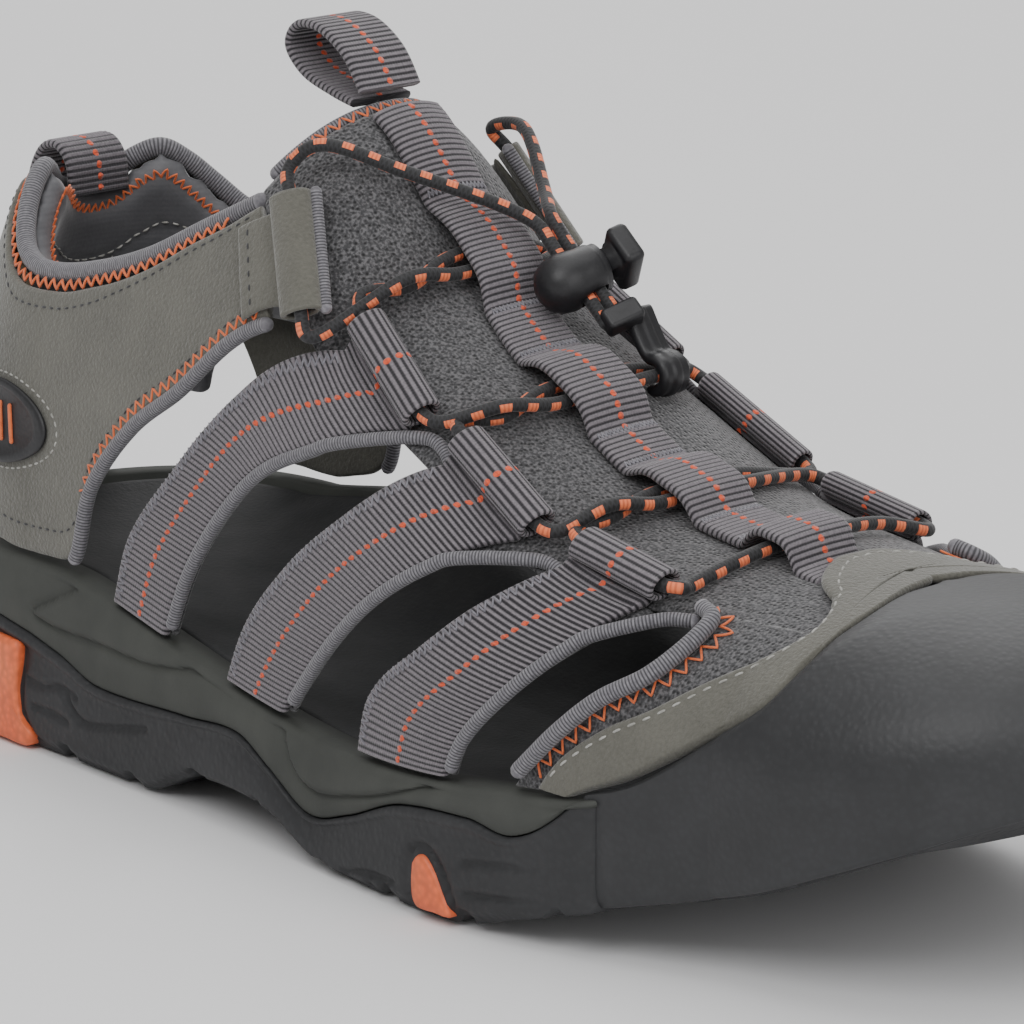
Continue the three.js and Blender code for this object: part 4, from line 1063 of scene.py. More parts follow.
say("straps")
for sideName, side in sides.items():
    for strapName, rungs in straps.items():
        name = sideName + "_" + strapName
        trimmed = [[up, back, front - strapLook["setback"] * (0.5 - 0.3 * smooth(.42, .56, up))]
                   for up, back, front in rungs]
        grid, uv = band(strapSpot(side, trimmed), *layer["webbing"], 520, 18, relief=strapRelief)
        gridPiece(name + "_webbing", grid, uv=uv, body=bodyName, node=name + "_strap", slot="webbing",
                  look="webbing")
        # piping along the front edge and round the top of the opening
        edge = strapSpot(side, trimmed)
        a = np.linspace(0.03, 0.68, 14)
        front, inside = (edge(a, np.full_like(a, v), np.full_like(a, layer["pipe"] - 0.9))
                         for v in (1.0, 0.94))
        hem = front + unit(front - inside) * 0.75
        rest = [onFoot(wayAt(x, side), up, layer["pipe"] - 0.9 - 0.5 * k)
                for k, (x, up) in enumerate(turns[strapName])]
        binding(name + "_wound_piping", np.concatenate([hem, rest]), strapLook["pipeRadius"], body=bodyName,
                node=name + "_piping")
        # zigzag selvedge along the back edge
        up = np.linspace(rungs[0][0] + 0.01, rungs[-1][0] - 0.02, 200)
        edgeX = along([[r[0], r[1]] for r in rungs], up) + 1.7
        line, lifted = onFoot(wayAt(edgeX, side), up, layer["webbing"][1]), onFoot(wayAt(edgeX, side), up, 9)
        gridPiece(name + "_selvedge_thread", zigzag(line, unit(lifted - line), 1.5, 1.9, 0.2, lift=0.02),
                  body=bodyName, slot="webbing", look="greyThread")
        # lace loop
        _, back, front = rungs[-1]
        lift = layer["webbing"][0] + strapLook["loopOuter"]
        ends = [onFoot(wayAt(x, side), up, lift) for x, up in ((back + 1, .645), (front + 1, .615))]
        grid, uv = loopSleeve(*ends, strapLook["loopInner"], strapLook["loopOuter"],
                              footNormal(wayAt(back + 10, side), .63))
        gridPiece(name + "_webbing_loop", grid, uv=uv, caps=False, body=bodyName, node=name + "_lace_loop",
                  slot="webbing", look="webbing")

# ---- quarters, heel stay and their stitching ----
quarter = {
    "low": [[-36, .46], [-46, .39], [-57, .31], [-70, .233], [-81, .133], [-86, .03], [-96, .01], [-110, .01],
            [-122, .03], [-128, .14], [-138, .22], [-155, .23], [-174, .23]],
    "high": [[-47, .6], [-53, .555], [-61, .51], [-71, .45], [-80, .41], [-88, .385], [-97, .365],
             [-109, .36],
             [-118, .365], [-127, .385], [-140, .43], [-160, .49], [-174, .475]],
    "tunnel": [[-39, .645], [-28, .53]], "stayHalf": 0.245,
}


def panel(side, lowEdge, highEdge):
    # a panel between two edges, each a list of (station along the foot, height on it)
    def spot(a, b, lift):
        low, high = catmull(lowEdge, a), catmull(highEdge, a)
        place = mix(low, high, b[..., None])
        return onFoot(wayAt(place[..., 0], side), np.clip(place[..., 1], 0, 1), lift)
    return spot


def stitchLine(name, spot, a, b, lift, look, pitch=2.3, length=1.6, radius=0.22):
    # a row of stitches over a panel, through its own (a, b) places
    a, b = (np.asarray(v, float) for v in np.broadcast_arrays(a, b))
    line = spot(a, b, np.full_like(a, lift))
    normal = unit(spot(a, b, np.full_like(a, lift + 1)) - line)
    return gridPiece(name, dashes(line, normal, pitch, length, radius), body=bodyName, slot="nubuck",
                     look=look)


say("quarters")
t = np.linspace(0, 1, 300)
for sideName, side in sides.items():
    spot = panel(side, quarter["low"], quarter["high"])
    grid, uv = band(spot, *layer["nubuck"], 260, 44)
    gridPiece(sideName + "_quarter_nubuck", grid, uv=uv, body=bodyName, node=sideName + "_quarter",
              slot="nubuck",
              look="nubuck")
    stitchLine(sideName + "_quarter_stitch_low", spot, t * 0.94 + 0.03, 0.1, layer["nubuck"][1], "darkThread")
    stitchLine(sideName + "_quarter_stitch_high", spot, t * 0.94 + 0.03, 0.93, layer["nubuck"][1],
               "darkThread")
    # the folded end with its lace tunnel
    flapSpot = panel(side, [[-41, .43], [-34, .49], [-30.5, .515]], [[-49, .55], [-42, .6], [-40.5, .625]])
    grid, uv = band(flapSpot, 3.4, 4.6, 60, 30, taper=1)
    gridPiece(sideName + "_strap_end_flap", grid, uv=uv, body=bodyName, slot="nubuck", look="nubuck")
    ends = [onFoot(wayAt(x, side), up, 6.5) for x, up in quarter["tunnel"]]
    grid, uv = loopSleeve(*ends, strapLook["loopInner"], strapLook["loopOuter"],
                          footNormal(wayAt(-34, side), .59), 1.3, 0.68)
    gridPiece(sideName + "_strap_end_tunnel", grid, uv=uv, caps=False, body=bodyName,
              node=sideName + "_strap_end",
              slot="nubuck", look="nubuck")
    stitchLine(sideName + "_strap_end_stitch", flapSpot, 0.18, t * 0.9 + 0.05, 4.6, "darkThread")
    # binding under the arch of the quarter, sewn on with an orange zigzag
    a = np.linspace(0.012, 0.415, 40)
    hem, inside = (spot(a, np.full_like(a, v), np.full_like(a, 2.6)) for v in (0.0, 0.03))
    binding(sideName + "_arch_ribbed_binding", hem + unit(hem - inside) * 1.0, 1.4, body=bodyName,
            node=sideName + "_arch_binding")
    # the strap end's front edge has a binding of its own
    first, last = (np.array(end) for end in ends)
    ahead = unit(np.cross(unit(last - first), footNormal(wayAt(-34, side), .59)))
    ahead = ahead * np.sign(ahead[0])
    edge = mix(first + (0.4, 0, 0), last,
               np.linspace(0.02, 0.98, 10)[:, None]) + ahead * 4.3 - footNormal(wayAt(-34, side), .59) * 1.2
    binding(sideName + "_strap_end_binding", edge, 1.15, body=bodyName)
    line = spot(t * 0.34 + 0.02, 0.055 + 0 * t, np.full_like(t, layer["nubuck"][1]))
    lifted = spot(t * 0.34 + 0.02, 0.055 + 0 * t, np.full_like(t, 9.0))
    gridPiece(sideName + "_arch_zigzag", zigzag(line, unit(lifted - line), 2.6, 2.2, 0.24, lift=0.05),
              body=bodyName,
              slot="ribbed_binding", look="orangeThread")


def notch(way):
    # the heel stay's top: lowest in the middle, rising with the square of the way
    return 0.425 + 0.05 * np.clip(np.abs(way) / quarter["stayHalf"], 0, 1) ** 2


topline = [[1 + (x - foot["heelCentre"]) / 100, up] for x, up in quarter["high"][::-1]]


def toplineAt(way):
    # the quarters' top edge, and the stay's between them
    return np.where(np.abs(way) < quarter["stayHalf"], notch(way), along(topline, np.abs(way)))


def staySpot(a, b, lift):
    # b round the heel, a from the sole up to the notch
    way = mix(-quarter["stayHalf"], quarter["stayHalf"], b)
    return onFoot(way, mix(0.01, notch(way), a), lift)


grid, uv = band(staySpot, *layer["nubuck"], 120, 24)
gridPiece("heel_stay_nubuck", grid, uv=uv, body=bodyName, node="heel_stay", slot="nubuck", look="nubuck")
for side in (0.09, 0.91):
    stitchLine("heel_stay_stitch_" + ("outer" if side < 0.5 else "inner"), staySpot, t, side,
               layer["nubuck"][1], "darkThread")

# ---- padded collar ----
collar = {"reach": 1.42, "low": -6.5, "high": -2.2, "bindingRadius": 1.9}


def liningSpot(a, b, lift):
    # inside the quarters, from the heel cup up to the topline, where it meets the binding
    way = mix(-collar["reach"], collar["reach"], a)
    bottom = 0.24 + 0.13 * np.clip(np.abs(way) - 1, 0, 1)
    return onFoot(way, mix(bottom, toplineAt(way) + 0.03, b), lift + 2.4 * smooth(0.84, 1.0, b))


say("collar")
grid, uv = band(liningSpot, collar["low"], collar["high"], 260, 60, edge=6)
liningPad = gridPiece("collar_lining_pad", grid, uv=uv, body=bodyName, node="collar_lining",
                      slot="collar_lining",
                      look="lining")


def padPlace(points):
    # for each point in mm: its share along and up the pad, how deep it is inside the outer face, and the
    # normal there
    a, b = np.meshgrid(np.linspace(0, 1, 161), np.linspace(0, 1, 25), indexing="ij")
    face = liningSpot(a, b, np.full_like(a, collar["high"])).reshape(-1, 3)
    normal = footNormal(mix(-collar["reach"], collar["reach"], a), 0.3 + 0 * a).reshape(-1, 3)
    near = np.concatenate([((part[:, None] - face) ** 2).sum(-1).argmin(1)
                           for part in np.array_split(points, 40)])
    return a.ravel()[near], b.ravel()[near], -((points - face[near]) * normal[near]).sum(-1), normal[near]


def coords(mesh):
    flat = np.empty(len(mesh.vertices) * 3, np.float32)
    mesh.vertices.foreach_get("co", flat)
    return flat.reshape(-1, 3).astype(float) / mm


def settled(piece):
    # the piece's mesh with its modifiers made final
    bpy.context.view_layer.update()
    done = bpy.data.meshes.new_from_object(piece.evaluated_get(bpy.context.evaluated_depsgraph_get()))
    piece.modifiers.clear()
    piece.data = done


def inflate(piece, pad):
    # cloth blown up by pressure: the face against the quarters is held, the inner face may bulge
    # pad["reach"] mm
    remesh = piece.modifiers.new("even", "REMESH")
    remesh.mode = "VOXEL"
    remesh.voxel_size = pad["voxel"] * mm
    settled(piece)
    rest = coords(piece.data)
    depth = padPlace(rest)[2]
    held = piece.vertex_groups.new(name="held")
    held.add(np.flatnonzero(depth < pad["heldDepth"]).tolist(), 1.0, "REPLACE")
    cloth = piece.modifiers.new("cloth", "CLOTH")
    cloth.settings.vertex_group_mass = "held"
    cloth.settings.use_pressure = True
    cloth.settings.uniform_pressure_force = pad["pressure"]
    cloth.settings.effector_weights.gravity = 0
    cloth.settings.quality = 5
    cloth.point_cache.frame_end = pad["frames"]
    for frameNumber in range(1, pad["frames"] + 1):
        bpy.context.scene.frame_set(frameNumber)
    settled(piece)
    move = coords(piece.data) - rest
    far = np.linalg.norm(move, axis=1, keepdims=True)
    moved = rest + move * np.minimum(far, pad["reach"]) / np.maximum(far, 1e-6)
    piece.data.vertices.foreach_set("co", (moved * mm).astype(np.float32).ravel())
    bpy.context.scene.frame_set(1)
    finer = piece.modifiers.new("finer", "SUBSURF")
    finer.levels = finer.render_levels = 1
    settled(piece)
    # the quilting pulls the inner face back in along its stitched lines
    points = coords(piece.data)
    a, b, depth, normal = padPlace(points)
    line = np.exp(-((b - 0.62 + 0.1 * np.cos((a - 0.5) * 7)) / 0.035) ** 2)
    bars = np.exp(-((np.abs(a - 0.5) - 0.043) / 0.006) ** 2) * (b < 0.52)
    pull = np.maximum(line, bars) * (depth > 2) * np.maximum(depth - pad["stitchDepth"], 0)
    piece.data.vertices.foreach_set("co", ((points + normal * pull[:, None]) * mm).astype(np.float32).ravel())
    piece.data.update()
    piece.data.shade_smooth()
    say("lining blown up, at most %.1f mm" % min(far.max(), pad["reach"]))


liningCloth = {"voxel": 1.9, "pressure": 4, "frames": 20, "reach": 2.6, "heldDepth": 2.6, "stitchDepth": 4.1}
inflate(liningPad, liningCloth)
t = np.linspace(0, 1, 300)
quilt = [(mix(0.12, 0.88, t), 0.62 - 0.1 * np.cos((t - 0.5) * 7)), (0.457 + 0 * t, mix(0.12, 0.5, t)),
         (0.543 + 0 * t, mix(0.12, 0.5, t))]
rows = [liningSpot(a, b, np.full_like(a, collar["low"] - 0.1)) for a, b in quilt]
rows = [dashes(line, -footNormal(mix(-1.42, 1.42, a), 0.3 + 0 * a), 2.0, 1.5, 0.22)
        for line, (a, b) in zip(rows, quilt)]
gridPiece("collar_lining_quilting", np.concatenate(rows), body=bodyName, slot="collar_lining",
          look="paleThread")
a = np.linspace(0.1, 0.9, 600)
line = liningSpot(a, 0.93 + 0 * a, np.full_like(a, collar["low"] - 0.2))
gridPiece("collar_lining_zigzag",
          zigzag(line, -footNormal(mix(-1.42, 1.42, a), toplineAt(mix(-1.42, 1.42, a))), 1.8, 2.2, 0.24,
                                         lift=0.1), body=bodyName, slot="collar_lining", look="orangeThread")
way = np.linspace(-1.5, 1.5, 25)
binding("collar_ribbed_binding", onFoot(way, toplineAt(way) + 0.03, 0.4), collar["bindingRadius"],
        body=bodyName,
        node="collar_binding")
wayFine = np.linspace(-1.45, 1.45, 600)
edgeNormal = footNormal(wayFine, toplineAt(wayFine))
line = onFoot(wayFine, toplineAt(wayFine) + 0.01, 0.4 + collar["bindingRadius"] * 0.9)
gridPiece("collar_zigzag", zigzag(line, edgeNormal, 2.6, 2.0, 0.28, lift=0.1, bow=0.25), body=bodyName,
          slot="ribbed_binding", look="orangeThread")

# ---- toe overlay and cap ----
def overlaySpot(a, b, lift):
    # a from rim to rim over the toe, b from the window's edge to the cap, where the front edge dips under it
    mirrored = lambda edge: [[x, -v] for x, v in edge] + [[x, v] for x, v in edge[::-1][1:]]
    place = mix(catmull(mirrored(toe["window"]), a), catmull(mirrored(toe["capSide"]), a), b[..., None])
    return overFoot(place[..., 0], np.clip(place[..., 1], -1, 1), lift - 0.9 * smooth(0.85, 1, b))


say("toe")
grid, uv = band(overlaySpot, *layer["nubuck"], 420, 40)
gridPiece("toe_overlay_nubuck", grid, uv=uv, body=bodyName, node="toe_overlay", slot="nubuck", look="nubuck")
stitchLine("toe_overlay_stitch", overlaySpot, t * 0.96 + 0.02, 0.14, layer["nubuck"][1], "paleThread",
           3.0, 2.0)


def tipSpot(a, b, lift):
    # the overlay over the tip, from just above the cap's top edge up to the ridge's end
    turn = 2 * (tipWay - 3.02) * (a - 0.5)
    around = np.where(turn < 0, -tipWay - turn, tipWay - turn)
    return onFoot(around, mix(along(toe["capTop"], np.abs(around)) + 0.02, 0.995, b), lift)


grid, uv = band(tipSpot, *layer["nubuck"], 160, 20, taper=2)
gridPiece("toe_tip_nubuck", grid, uv=uv, body=bodyName, slot="nubuck", look="nubuck")
for sideName, side in sides.items():
    spots = [onFoot(wayAt(x, side), 1 - v, layer["pipe"] - 0.2)
             for x, v in [*toe["gap"], [73.6, .43], [70.5, .405]]]
    binding(sideName + "_toe_ribbed_binding", spots, 1.5, body=bodyName, node=sideName + "_toe_binding")
    tape = np.array([[x + 2.3, 1 - v] for x, v in toe["gap"]] + [[76, .575], [72.5, .612], [68.5, .6]])
    line = catmull(tape, np.linspace(0, 1, 300))
    low = onFoot(wayAt(line[:, 0], side), line[:, 1], 1.3)
    gridPiece(sideName + "_toe_zigzag",
              zigzag(low, footNormal(wayAt(line[:, 0], side), line[:, 1]), 3.2, 2.8, 0.24, lift=0.3),
              body=bodyName, slot="ribbed_binding", look="orangeThread")


def capSpot(a, b, lift):
    # the toe cap: a lower wall standing on the outsole, then over the foot to its top edge
    turn = 2 * (tipWay - sole["capStart"]) * (a - 0.5)
    around = np.where(turn < 0, -tipWay - turn, tipWay - turn)
    x, _, z, _ = footLine(around)
    lift = lift - 1.1 * (1 - smooth(0.0, 0.025,
                                    np.minimum(a, 1 - a)))  # its sides run in behind the outsole's wall
    wall = planPoint(around, toe["stand"] + lift,
                     mix(tread(x) + toe["foot"], z, np.minimum(b / toe["share"], 1)))
    t = np.clip((b - toe["share"]) / (1 - toe["share"]), 0, 1)
    over = onFoot(around, t * along(toe["capTop"], np.abs(around)),
                  mix(toe["stand"], layer["nubuck"][0], t) + lift * (1 - 0.45 * smooth(0.75, 1, t)))
    return np.where((b <= toe["share"])[..., None], wall, over)


grid, uv = band(capSpot, 0, toe["wall"], 260, 60, edge=8)
gridPiece("toe_cap_rubber", grid, uv=uv, body=bodyName, node="toe_cap", slot="toe_rubber", look="toeRubber")

# ---- centre strip with raised keepers ----
strip = {"half": 7.2, "start": -39, "end": 79, "keepers": [-17, 13, 40, 67], "keeperHalf": [9.5, 9.5, 9.5, 7],
         "rise": 3.9}


def keeperArch(x):
    # each keeper's height: a flat-topped hump, (1 - t^4)^2 of its half length
    t = np.clip(np.abs(np.asarray(x, float)[..., None] - np.array(strip["keepers"]))
                / np.array(strip["keeperHalf"]), 0, 1)
    return (strip["rise"] * (1 - t ** 4) ** 2).max(-1)


def stripSpot(a, b, lift):
    # a along the ridge, b across it; the front end dips onto the toe overlay
    x = mix(strip["start"], strip["end"], a)
    return overRidge(x, mix(-strip["half"], strip["half"], b),
                     lift + keeperArch(x) - 1.3 * smooth(71, 75.5, x))


say("centre strip")
grid, uv = band(stripSpot, *layer["webbing"], 560, 18, relief=ribs)
gridPiece("centre_strip_webbing", grid, uv=uv, body=bodyName, node="centre_strip", slot="webbing",
          look="webbing")
bars = []
for x in [k + s * (half + 0.5) for k, half in zip(strip["keepers"], strip["keeperHalf"]) for s in (-1, 1)]:
    if strip["start"] < x < 72:
        sideways = np.linspace(-strip["half"] + 0.8, strip["half"] - 0.8, 100)
        line = overRidge(x, sideways, layer["webbing"][1] + keeperArch(np.full_like(sideways, x)))
        bars.append(zigzag(line, unit(overRidge(x, sideways, 10.0) - line), 0.9, 1.3, 0.18, lift=0.02))
for k, bar in enumerate(bars):
    gridPiece("keeper_bartack_%d" % (k + 1), bar, body=bodyName, slot="webbing", look="greyThread")

# ---- pull loops ----
loops = {
    "tongue": [[-41, 128.6], [-45.5, 134.6], [-52.5, 138.6], [-59, 138.6], [-61.5, 134.5], [-57, 130],
               [-49, 127.4],
               [-43.5, 126.2]],
    "heel": [[-140.3, 84], [-139, 93], [-137.8, 100], [-134.5, 105], [-130, 105.8], [-126.6, 102.5],
             [-126, 96.6]],
    "thickness": 1.6,
}


def loopSpot(points):
    # a webbing band standing on a line in the plane y = 0
    def spot(a, b, lift):
        place = catmull(points, a)
        step = catmull(points, np.clip(a + 0.004, 0, 1)) - catmull(points, np.clip(a - 0.004, 0, 1))
        square = unit(np.stack([-step[..., 1], step[..., 0]], -1))
        flat = place + square * lift[..., None]
        return np.stack(np.broadcast_arrays(flat[..., 0], mix(-strip["half"], strip["half"], b),
                                            flat[..., 1]), -1)
    return spot


grid, uv = band(loopSpot(loops["tongue"]), -0.8, 0.8, 260, 18, relief=ribs)
gridPiece("tongue_loop_webbing", grid, uv=uv, body="tongue_loop", node="tongue_pull_loop", slot="webbing",
          look="webbing")
grid, uv = band(loopSpot(loops["heel"]), -0.8, 0.8, 240, 18, relief=ribs)
gridPiece("heel_loop_webbing", grid, uv=uv, body=bodyName, node="heel_pull_loop", slot="webbing",
          look="webbing")

# ---- badge: a plain oval with a generic ring and bars ----
badge = {"way": -0.86, "up": 0.17, "half": (0.19, 0.055), "lift": (3.4, 4.4)}


def badgePoint(share, angle, lift):
    # a point of the badge's oval at a share of its radius, laid on the foot
    return onFoot(badge["way"] + badge["half"][0] * share * np.cos(angle),
                  badge["up"] + badge["half"][1] * share * np.sin(angle), lift)


angle = np.linspace(0, 2 * pi, 96, endpoint=False)
shares = [0.01, .5, .98, 1, 1, .97, .93, .86, .82, .79, .5, .01]
lifts = [3.4, 3.4, 3.4, 3.6, 4.1, 4.35, 4.4, 4.4, 4.3, 4.0, 4.0, 4.0]
grid = np.stack([badgePoint(s, angle, np.full_like(angle, h)) for s, h in zip(shares, lifts)])
gridPiece("heel_badge_rubber", grid, body=bodyName, node="heel_badge", slot="badge", look="badge")
bars = []
for shift in (-0.36, -0.12, 0.12, 0.36):
    t = np.linspace(-0.42, 0.42, 24)
    way = badge["way"] + badge["half"][0] * (shift + 0.12 * t)
    bars.append(tube(onFoot(way, badge["up"] + badge["half"][1] * t, 4.15), 0.42, 8,
                     hint=footNormal(way, badge["up"] + 0 * t))[0])
gridPiece("heel_badge_bars", np.stack(bars), body=bodyName, slot="badge", look="orangeThread")
angle = np.linspace(0, 2 * pi, 300)
line = badgePoint(1.14, angle, np.full_like(angle, layer["nubuck"][1]))
gridPiece("heel_badge_stitch",
          dashes(line, unit(badgePoint(1.14, angle, np.full_like(angle, 9.0)) - line), 1.9, 1.4, 0.2),
          body=bodyName, slot="nubuck", look="paleThread")
t = np.linspace(0, 1, 300)

# ---- lock, hook and lace ----
lock = {"centre": (1.5, 8, 99.6), "axis": (.25, .92, .3), "pull": (.77, 0, -.64), "barrel": 4.9, "bore": 3.2,
        "stem": 2.95, "spread": 1.35, "press": 2.2, "slot": 1.55}
lockAxis = unit(np.array(lock["axis"]))
pullAxis = np.array(lock["pull"])
pullAxis = unit(pullAxis - lockAxis * (pullAxis @ lockAxis))
lockTurn = np.stack([pullAxis, lockAxis, np.cross(pullAxis, lockAxis)])


def inLock(points):
    # from the lock's own axes, x along the cords and y to the button, to the sandal's
    return np.asarray(points, float) @ lockTurn + np.array(lock["centre"])


def lathe(profile, sides=48):
    # a closed (radius, y) profile turned round the lock's y axis
    profile = np.array(profile, float)
    angle = np.linspace(0, 2 * pi, sides, endpoint=False)
    return np.stack([profile[:, :1] * np.cos(angle), np.broadcast_to(profile[:, 1:], (len(profile), sides)),
                     profile[:, :1] * np.sin(angle)], -1)


def roundedBox(size, centre, radius, cells=6):
    # a box whose corners and edges are rounded: points on a ball pushed out to the box's inner corners
    lat = np.linspace(-pi / 2, pi / 2, 2 * cells)
    lon = (np.arange(4 * cells) + 0.5) * 2 * pi / (4 * cells)
    ball = np.stack([np.cos(lat)[:, None] * np.cos(lon), np.cos(lat)[:, None] * np.sin(lon),
                     np.sin(lat)[:, None] + 0 * lon], -1)
    corner = np.sign(ball)
    corner[..., 2] = np.where(lat[:, None] < 0, -1, 1)
    return ball * radius + corner * (np.array(size) / 2 - radius) + np.array(centre)


def carve(piece, cutters, operation="DIFFERENCE"):
    # boolean with other closed pieces, made final in the mesh
    for cutter in cutters:
        change = piece.modifiers.new("carve", "BOOLEAN")
        change.object = cutter
        change.operation = operation
        change.solver = "EXACT"
        bpy.context.view_layer.update()
        done = bpy.data.meshes.new_from_object(piece.evaluated_get(bpy.context.evaluated_depsgraph_get()))
        piece.modifiers.clear()
        piece.data = done
        bpy.data.objects.remove(cutter)
    return piece


def blank(name, grid, **settings):
    # a plastic piece on no body yet, to be carved
    return gridPiece(name, grid, body=None, look="plastic", **settings)


say("lock")
slotCut = inLock(roundedBox((16, 2 * (lock["spread"] + lock["slot"]), 2 * lock["slot"]), (0, 0, 0), 0.5))
barrel = [(0.02, -8.9), (2.2, -8.6), (3.9, -7.6), (5.0, -5.9), (5.45, -3.6), (5.3, -1.6), (4.9, 0.4),
          (4.9, 2.4),
          (4.6, 3.0), (4.5, 3.2), (4.5, 4.0), (4.2, 4.2), (3.2, 4.2), (3.2, -7), (0.02, -7)]
body = blank("lock_body_moulded", inLock(lathe(barrel)))
carve(body, [blank("cut", slotCut)])
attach(body, "lace_lock")
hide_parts("lock_body")
low, high = -lock["spread"] - lock["slot"], lock["spread"] + lock["slot"] + lock["press"]
stem = [(0.02, -3.9), (2.7, -3.9), (2.95, -3.6), (2.95, 6.4), (3.6, 6.6), (3.6, 7.4), (0.02, 7.4)]
button = blank("lock_button_moulded", inLock(lathe(stem)))
carve(button, [blank("head", inLock(roundedBox((8.2, 4.2, 10.6), (0, 8.7, 0), 1.3)))], "UNION")
carve(button, [blank("cut",
                     inLock(roundedBox((16, high - low, 2 * lock["slot"]), (0, (high + low) / 2, 0), 0.5)))])
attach(button, "lock_button")
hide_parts("lock_button")
for piece in (body, button):
    piece.data.shade_smooth()
# the wire spring from the barrel's floor, at y -7, to the stem, at y -3.9
spring = {"turns": 3, "radius": 2.2, "wire": 0.28, "ends": (-6.7, -4.2), "keep": 0.3}
turn = np.linspace(0, 2 * pi * spring["turns"], 140)
helix = np.stack([spring["radius"] * np.cos(turn), np.linspace(*spring["ends"], 140),
                  spring["radius"] * np.sin(turn)], -1)
grid, uv = tube(inLock(helix), spring["wire"], 10)
wire = gridPiece("lock_spring_wire", grid, uv=uv, body="lace_lock", node="lock_spring", slot="spring_steel",
                 look="steel")
inLock((0, -7, 0)) * mm
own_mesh(wire)

hookGrip = overRidge(14.6, 15.5, 5.4)
socket = inLock((11.2, 0, 0.8))
lipTurn = np.radians([80, 40, 0, -40, -80, -115])
spine = np.concatenate([[[socket[0] - 0.8, socket[2] + 1.4], [hookGrip[0] - 2.6, hookGrip[2] + 3.8]],
                        np.stack([hookGrip[0] + 2.75 * np.cos(lipTurn),
                                  hookGrip[2] + 2.75 * np.sin(lipTurn)], 1)])


def hookSpot(a, b, lift):
    # a along the hook's spine, b across it, lift square to the spine in its upright plane
    place = catmull(spine, a)
    step = catmull(spine, np.clip(a + 0.01, 0, 1)) - catmull(spine, np.clip(a - 0.01, 0, 1))
    square = unit(np.stack([-step[..., 1], step[..., 0]], -1))
    flat = place + square * lift[..., None]
    return np.stack(np.broadcast_arrays(flat[..., 0], hookGrip[1] + mix(-3.3, 3.3, b), flat[..., 1]), -1)


grid, uv = band(hookSpot, -1.25, 1.25, 120, 30, edge=6, taper=1.1, relief=lambda u,
                v: 0.35 * np.exp(-(v / 1.0) ** 4) - 0.2)
gridPiece("lace_hook_spine", grid, uv=uv, body=bodyName, slot="black_plastic", look="plastic")
hookSocket = blank("lace_hook_socket", inLock(roundedBox((4.4, 7.4, 4), (11.2, 1.6, 0.8), 0.9)))
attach(hookSocket, bodyName)
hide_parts("lace_hook")

cord = {"radius": 1.25, "flatLift": 3.45, "loopLift": 4.6, "tunnelLift": 6.5}
loopTopX = {"rear": -19, "middle": 11, "front": 41}
loopFootX = {"rear": 2, "middle": 32, "front": 62}


def throughLoop(side, name, upwards):
    # the cord's places through a strap's loop, with one more just past each end
    lift = cord["loopLift"]
    spots = [onFoot(wayAt(loopTopX[name] - 3.4, side), .66, lift - .4),
             onFoot(wayAt(loopTopX[name], side), .645, lift),
             onFoot(wayAt(loopFootX[name], side), .615, lift),
             onFoot(wayAt(loopFootX[name] + 3.2, side), .63, lift - .4)]
    return spots[::-1] if upwards else spots


def throughTunnel(side, upwards):
    # the cord's places through a strap end's tunnel, with one more just past each end
    spots = [onFoot(wayAt(x, side), up, cord["tunnelLift"] + drop)
             for x, up, drop in ((-41.5, .675, 0), *((x, up, 0) for x, up in quarter["tunnel"]),
                                 (-25.6, .515, -.8))]
    return spots[::-1] if upwards else spots


def crossRow(keeperX, fromBehind):
    # from the outer side to the inner one: the cord that comes from behind lies over the other
    shift, over, lift = (1.65, 2.9, cord["flatLift"]) if fromBehind else (-1.65, 0, cord["flatLift"])
    return [overRidge(keeperX - 1, -17, lift + over), overRidge(keeperX + shift, -9.5, lift + over * 0.25),
            overRidge(keeperX + shift, 0, lift), overRidge(keeperX + shift, 10, lift)]


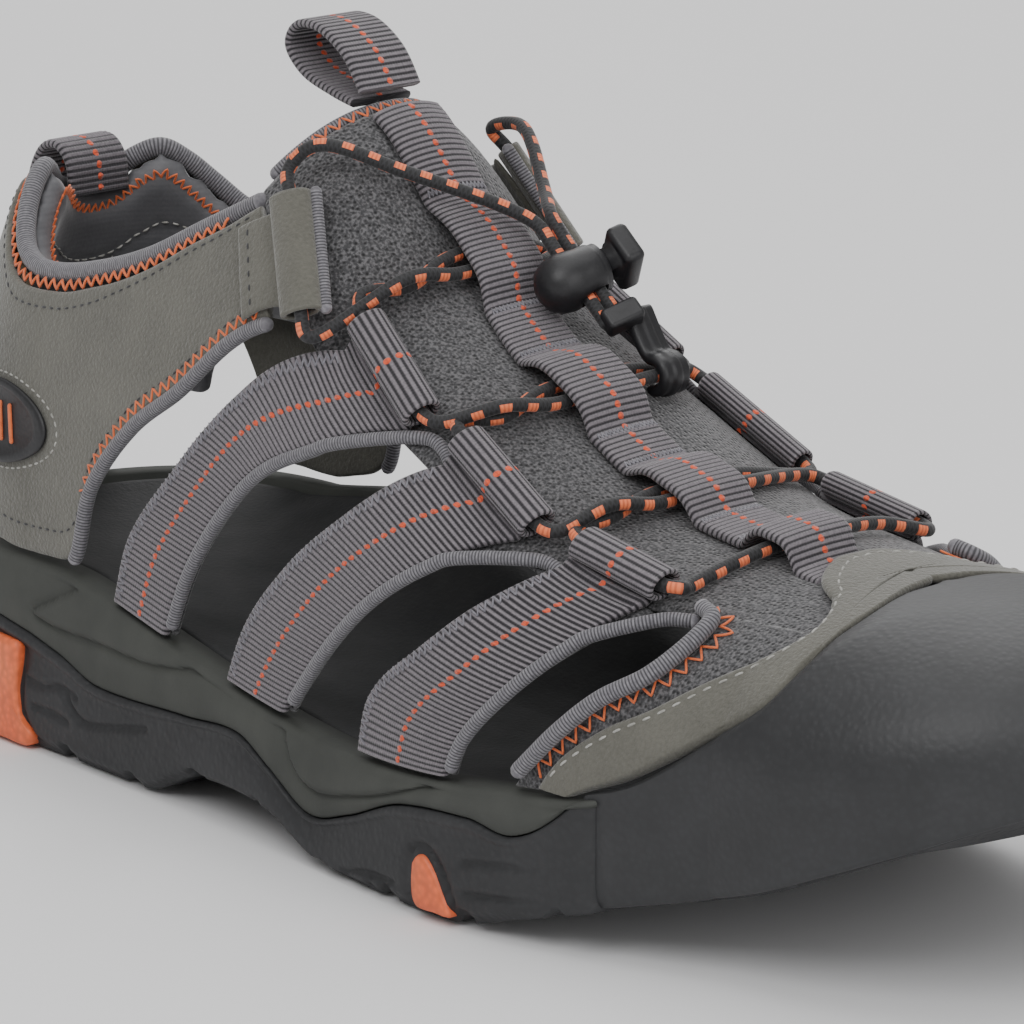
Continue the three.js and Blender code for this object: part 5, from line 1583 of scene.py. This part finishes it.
def endInLock(spread):
    # a lace end's places straight through hook and lock, spread mm from their middle
    return [inLock(p) for p in ((10.6, spread, 0), (8, spread, 0), (-8, spread, 0), (-13, spread * 1.2, 0.4))]


frontRow = [overRidge(67 - abs(s) * 0.12, s, cord["flatLift"]) for s in (-22, -8, 8, 22)]
keepers = strip["keepers"]
laceRoute = [
    *endInLock(-lock["spread"]), overFoot(-30, -.14, 7), overFoot(-39, -.26, 8), *throughTunnel(-1, False),
    *crossRow(keepers[0], True), *throughLoop(1, "rear", False), *crossRow(keepers[1], False)[::-1],
    *throughLoop(-1, "middle", False), *crossRow(keepers[2], True), *throughLoop(1, "front", False),
    *frontRow[::-1], *throughLoop(-1, "front", True), *crossRow(keepers[2], False),
    *throughLoop(1, "middle", True),
    *[*crossRow(keepers[1], True)[:3], hookGrip][::-1], *throughLoop(-1, "rear", True),
    *crossRow(keepers[0], False),
    *throughTunnel(1, True), overFoot(-36, .28, 10), overFoot(-24, .16, 11), *endInLock(lock["spread"])[::-1],
]
say("lace")
path, _ = evenly(catmull(np.array(laceRoute), np.linspace(0, 1, 6000), True), 2400)
# a cord has no kinks: each point is averaged with its neighbours over about 2 mm either way
share = np.hanning(15)[1:-1] / np.hanning(15).sum()
path[6:-6] = np.stack([np.convolve(path[:, k], share, "valid") for k in range(3)], 1)
path, at = evenly(path, 2400)
grid, uv = tube(path, cord["radius"], 14)
lace = gridPiece("braided_lace", grid, uv=uv, body=bodyName, node="lace", slot="lace_cord", look="cord")

# ---- CAD nodes that stay, with their own finish ----
for nodeName, look in (("insole_board", "board"), ("heel_counter", "board")):
    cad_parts[nodeName].data.materials.clear()
    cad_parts[nodeName].data.materials.append(finish[look])

# ---- floor ----
floorMesh = bpy.data.meshes.new("studio_floor")
floorMesh.from_pydata([(-4, -4, -0.0005), (4, -4, -0.0005), (4, 4, -0.0005), (-4, 4, -0.0005)], [],
                      [(0, 1, 2, 3)])
floorMesh.materials.append(finish["floor"])
floor = bpy.data.objects.new("studio_floor", floorMesh)
bpy.context.scene.collection.objects.link(floor)

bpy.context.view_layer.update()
say("finished")
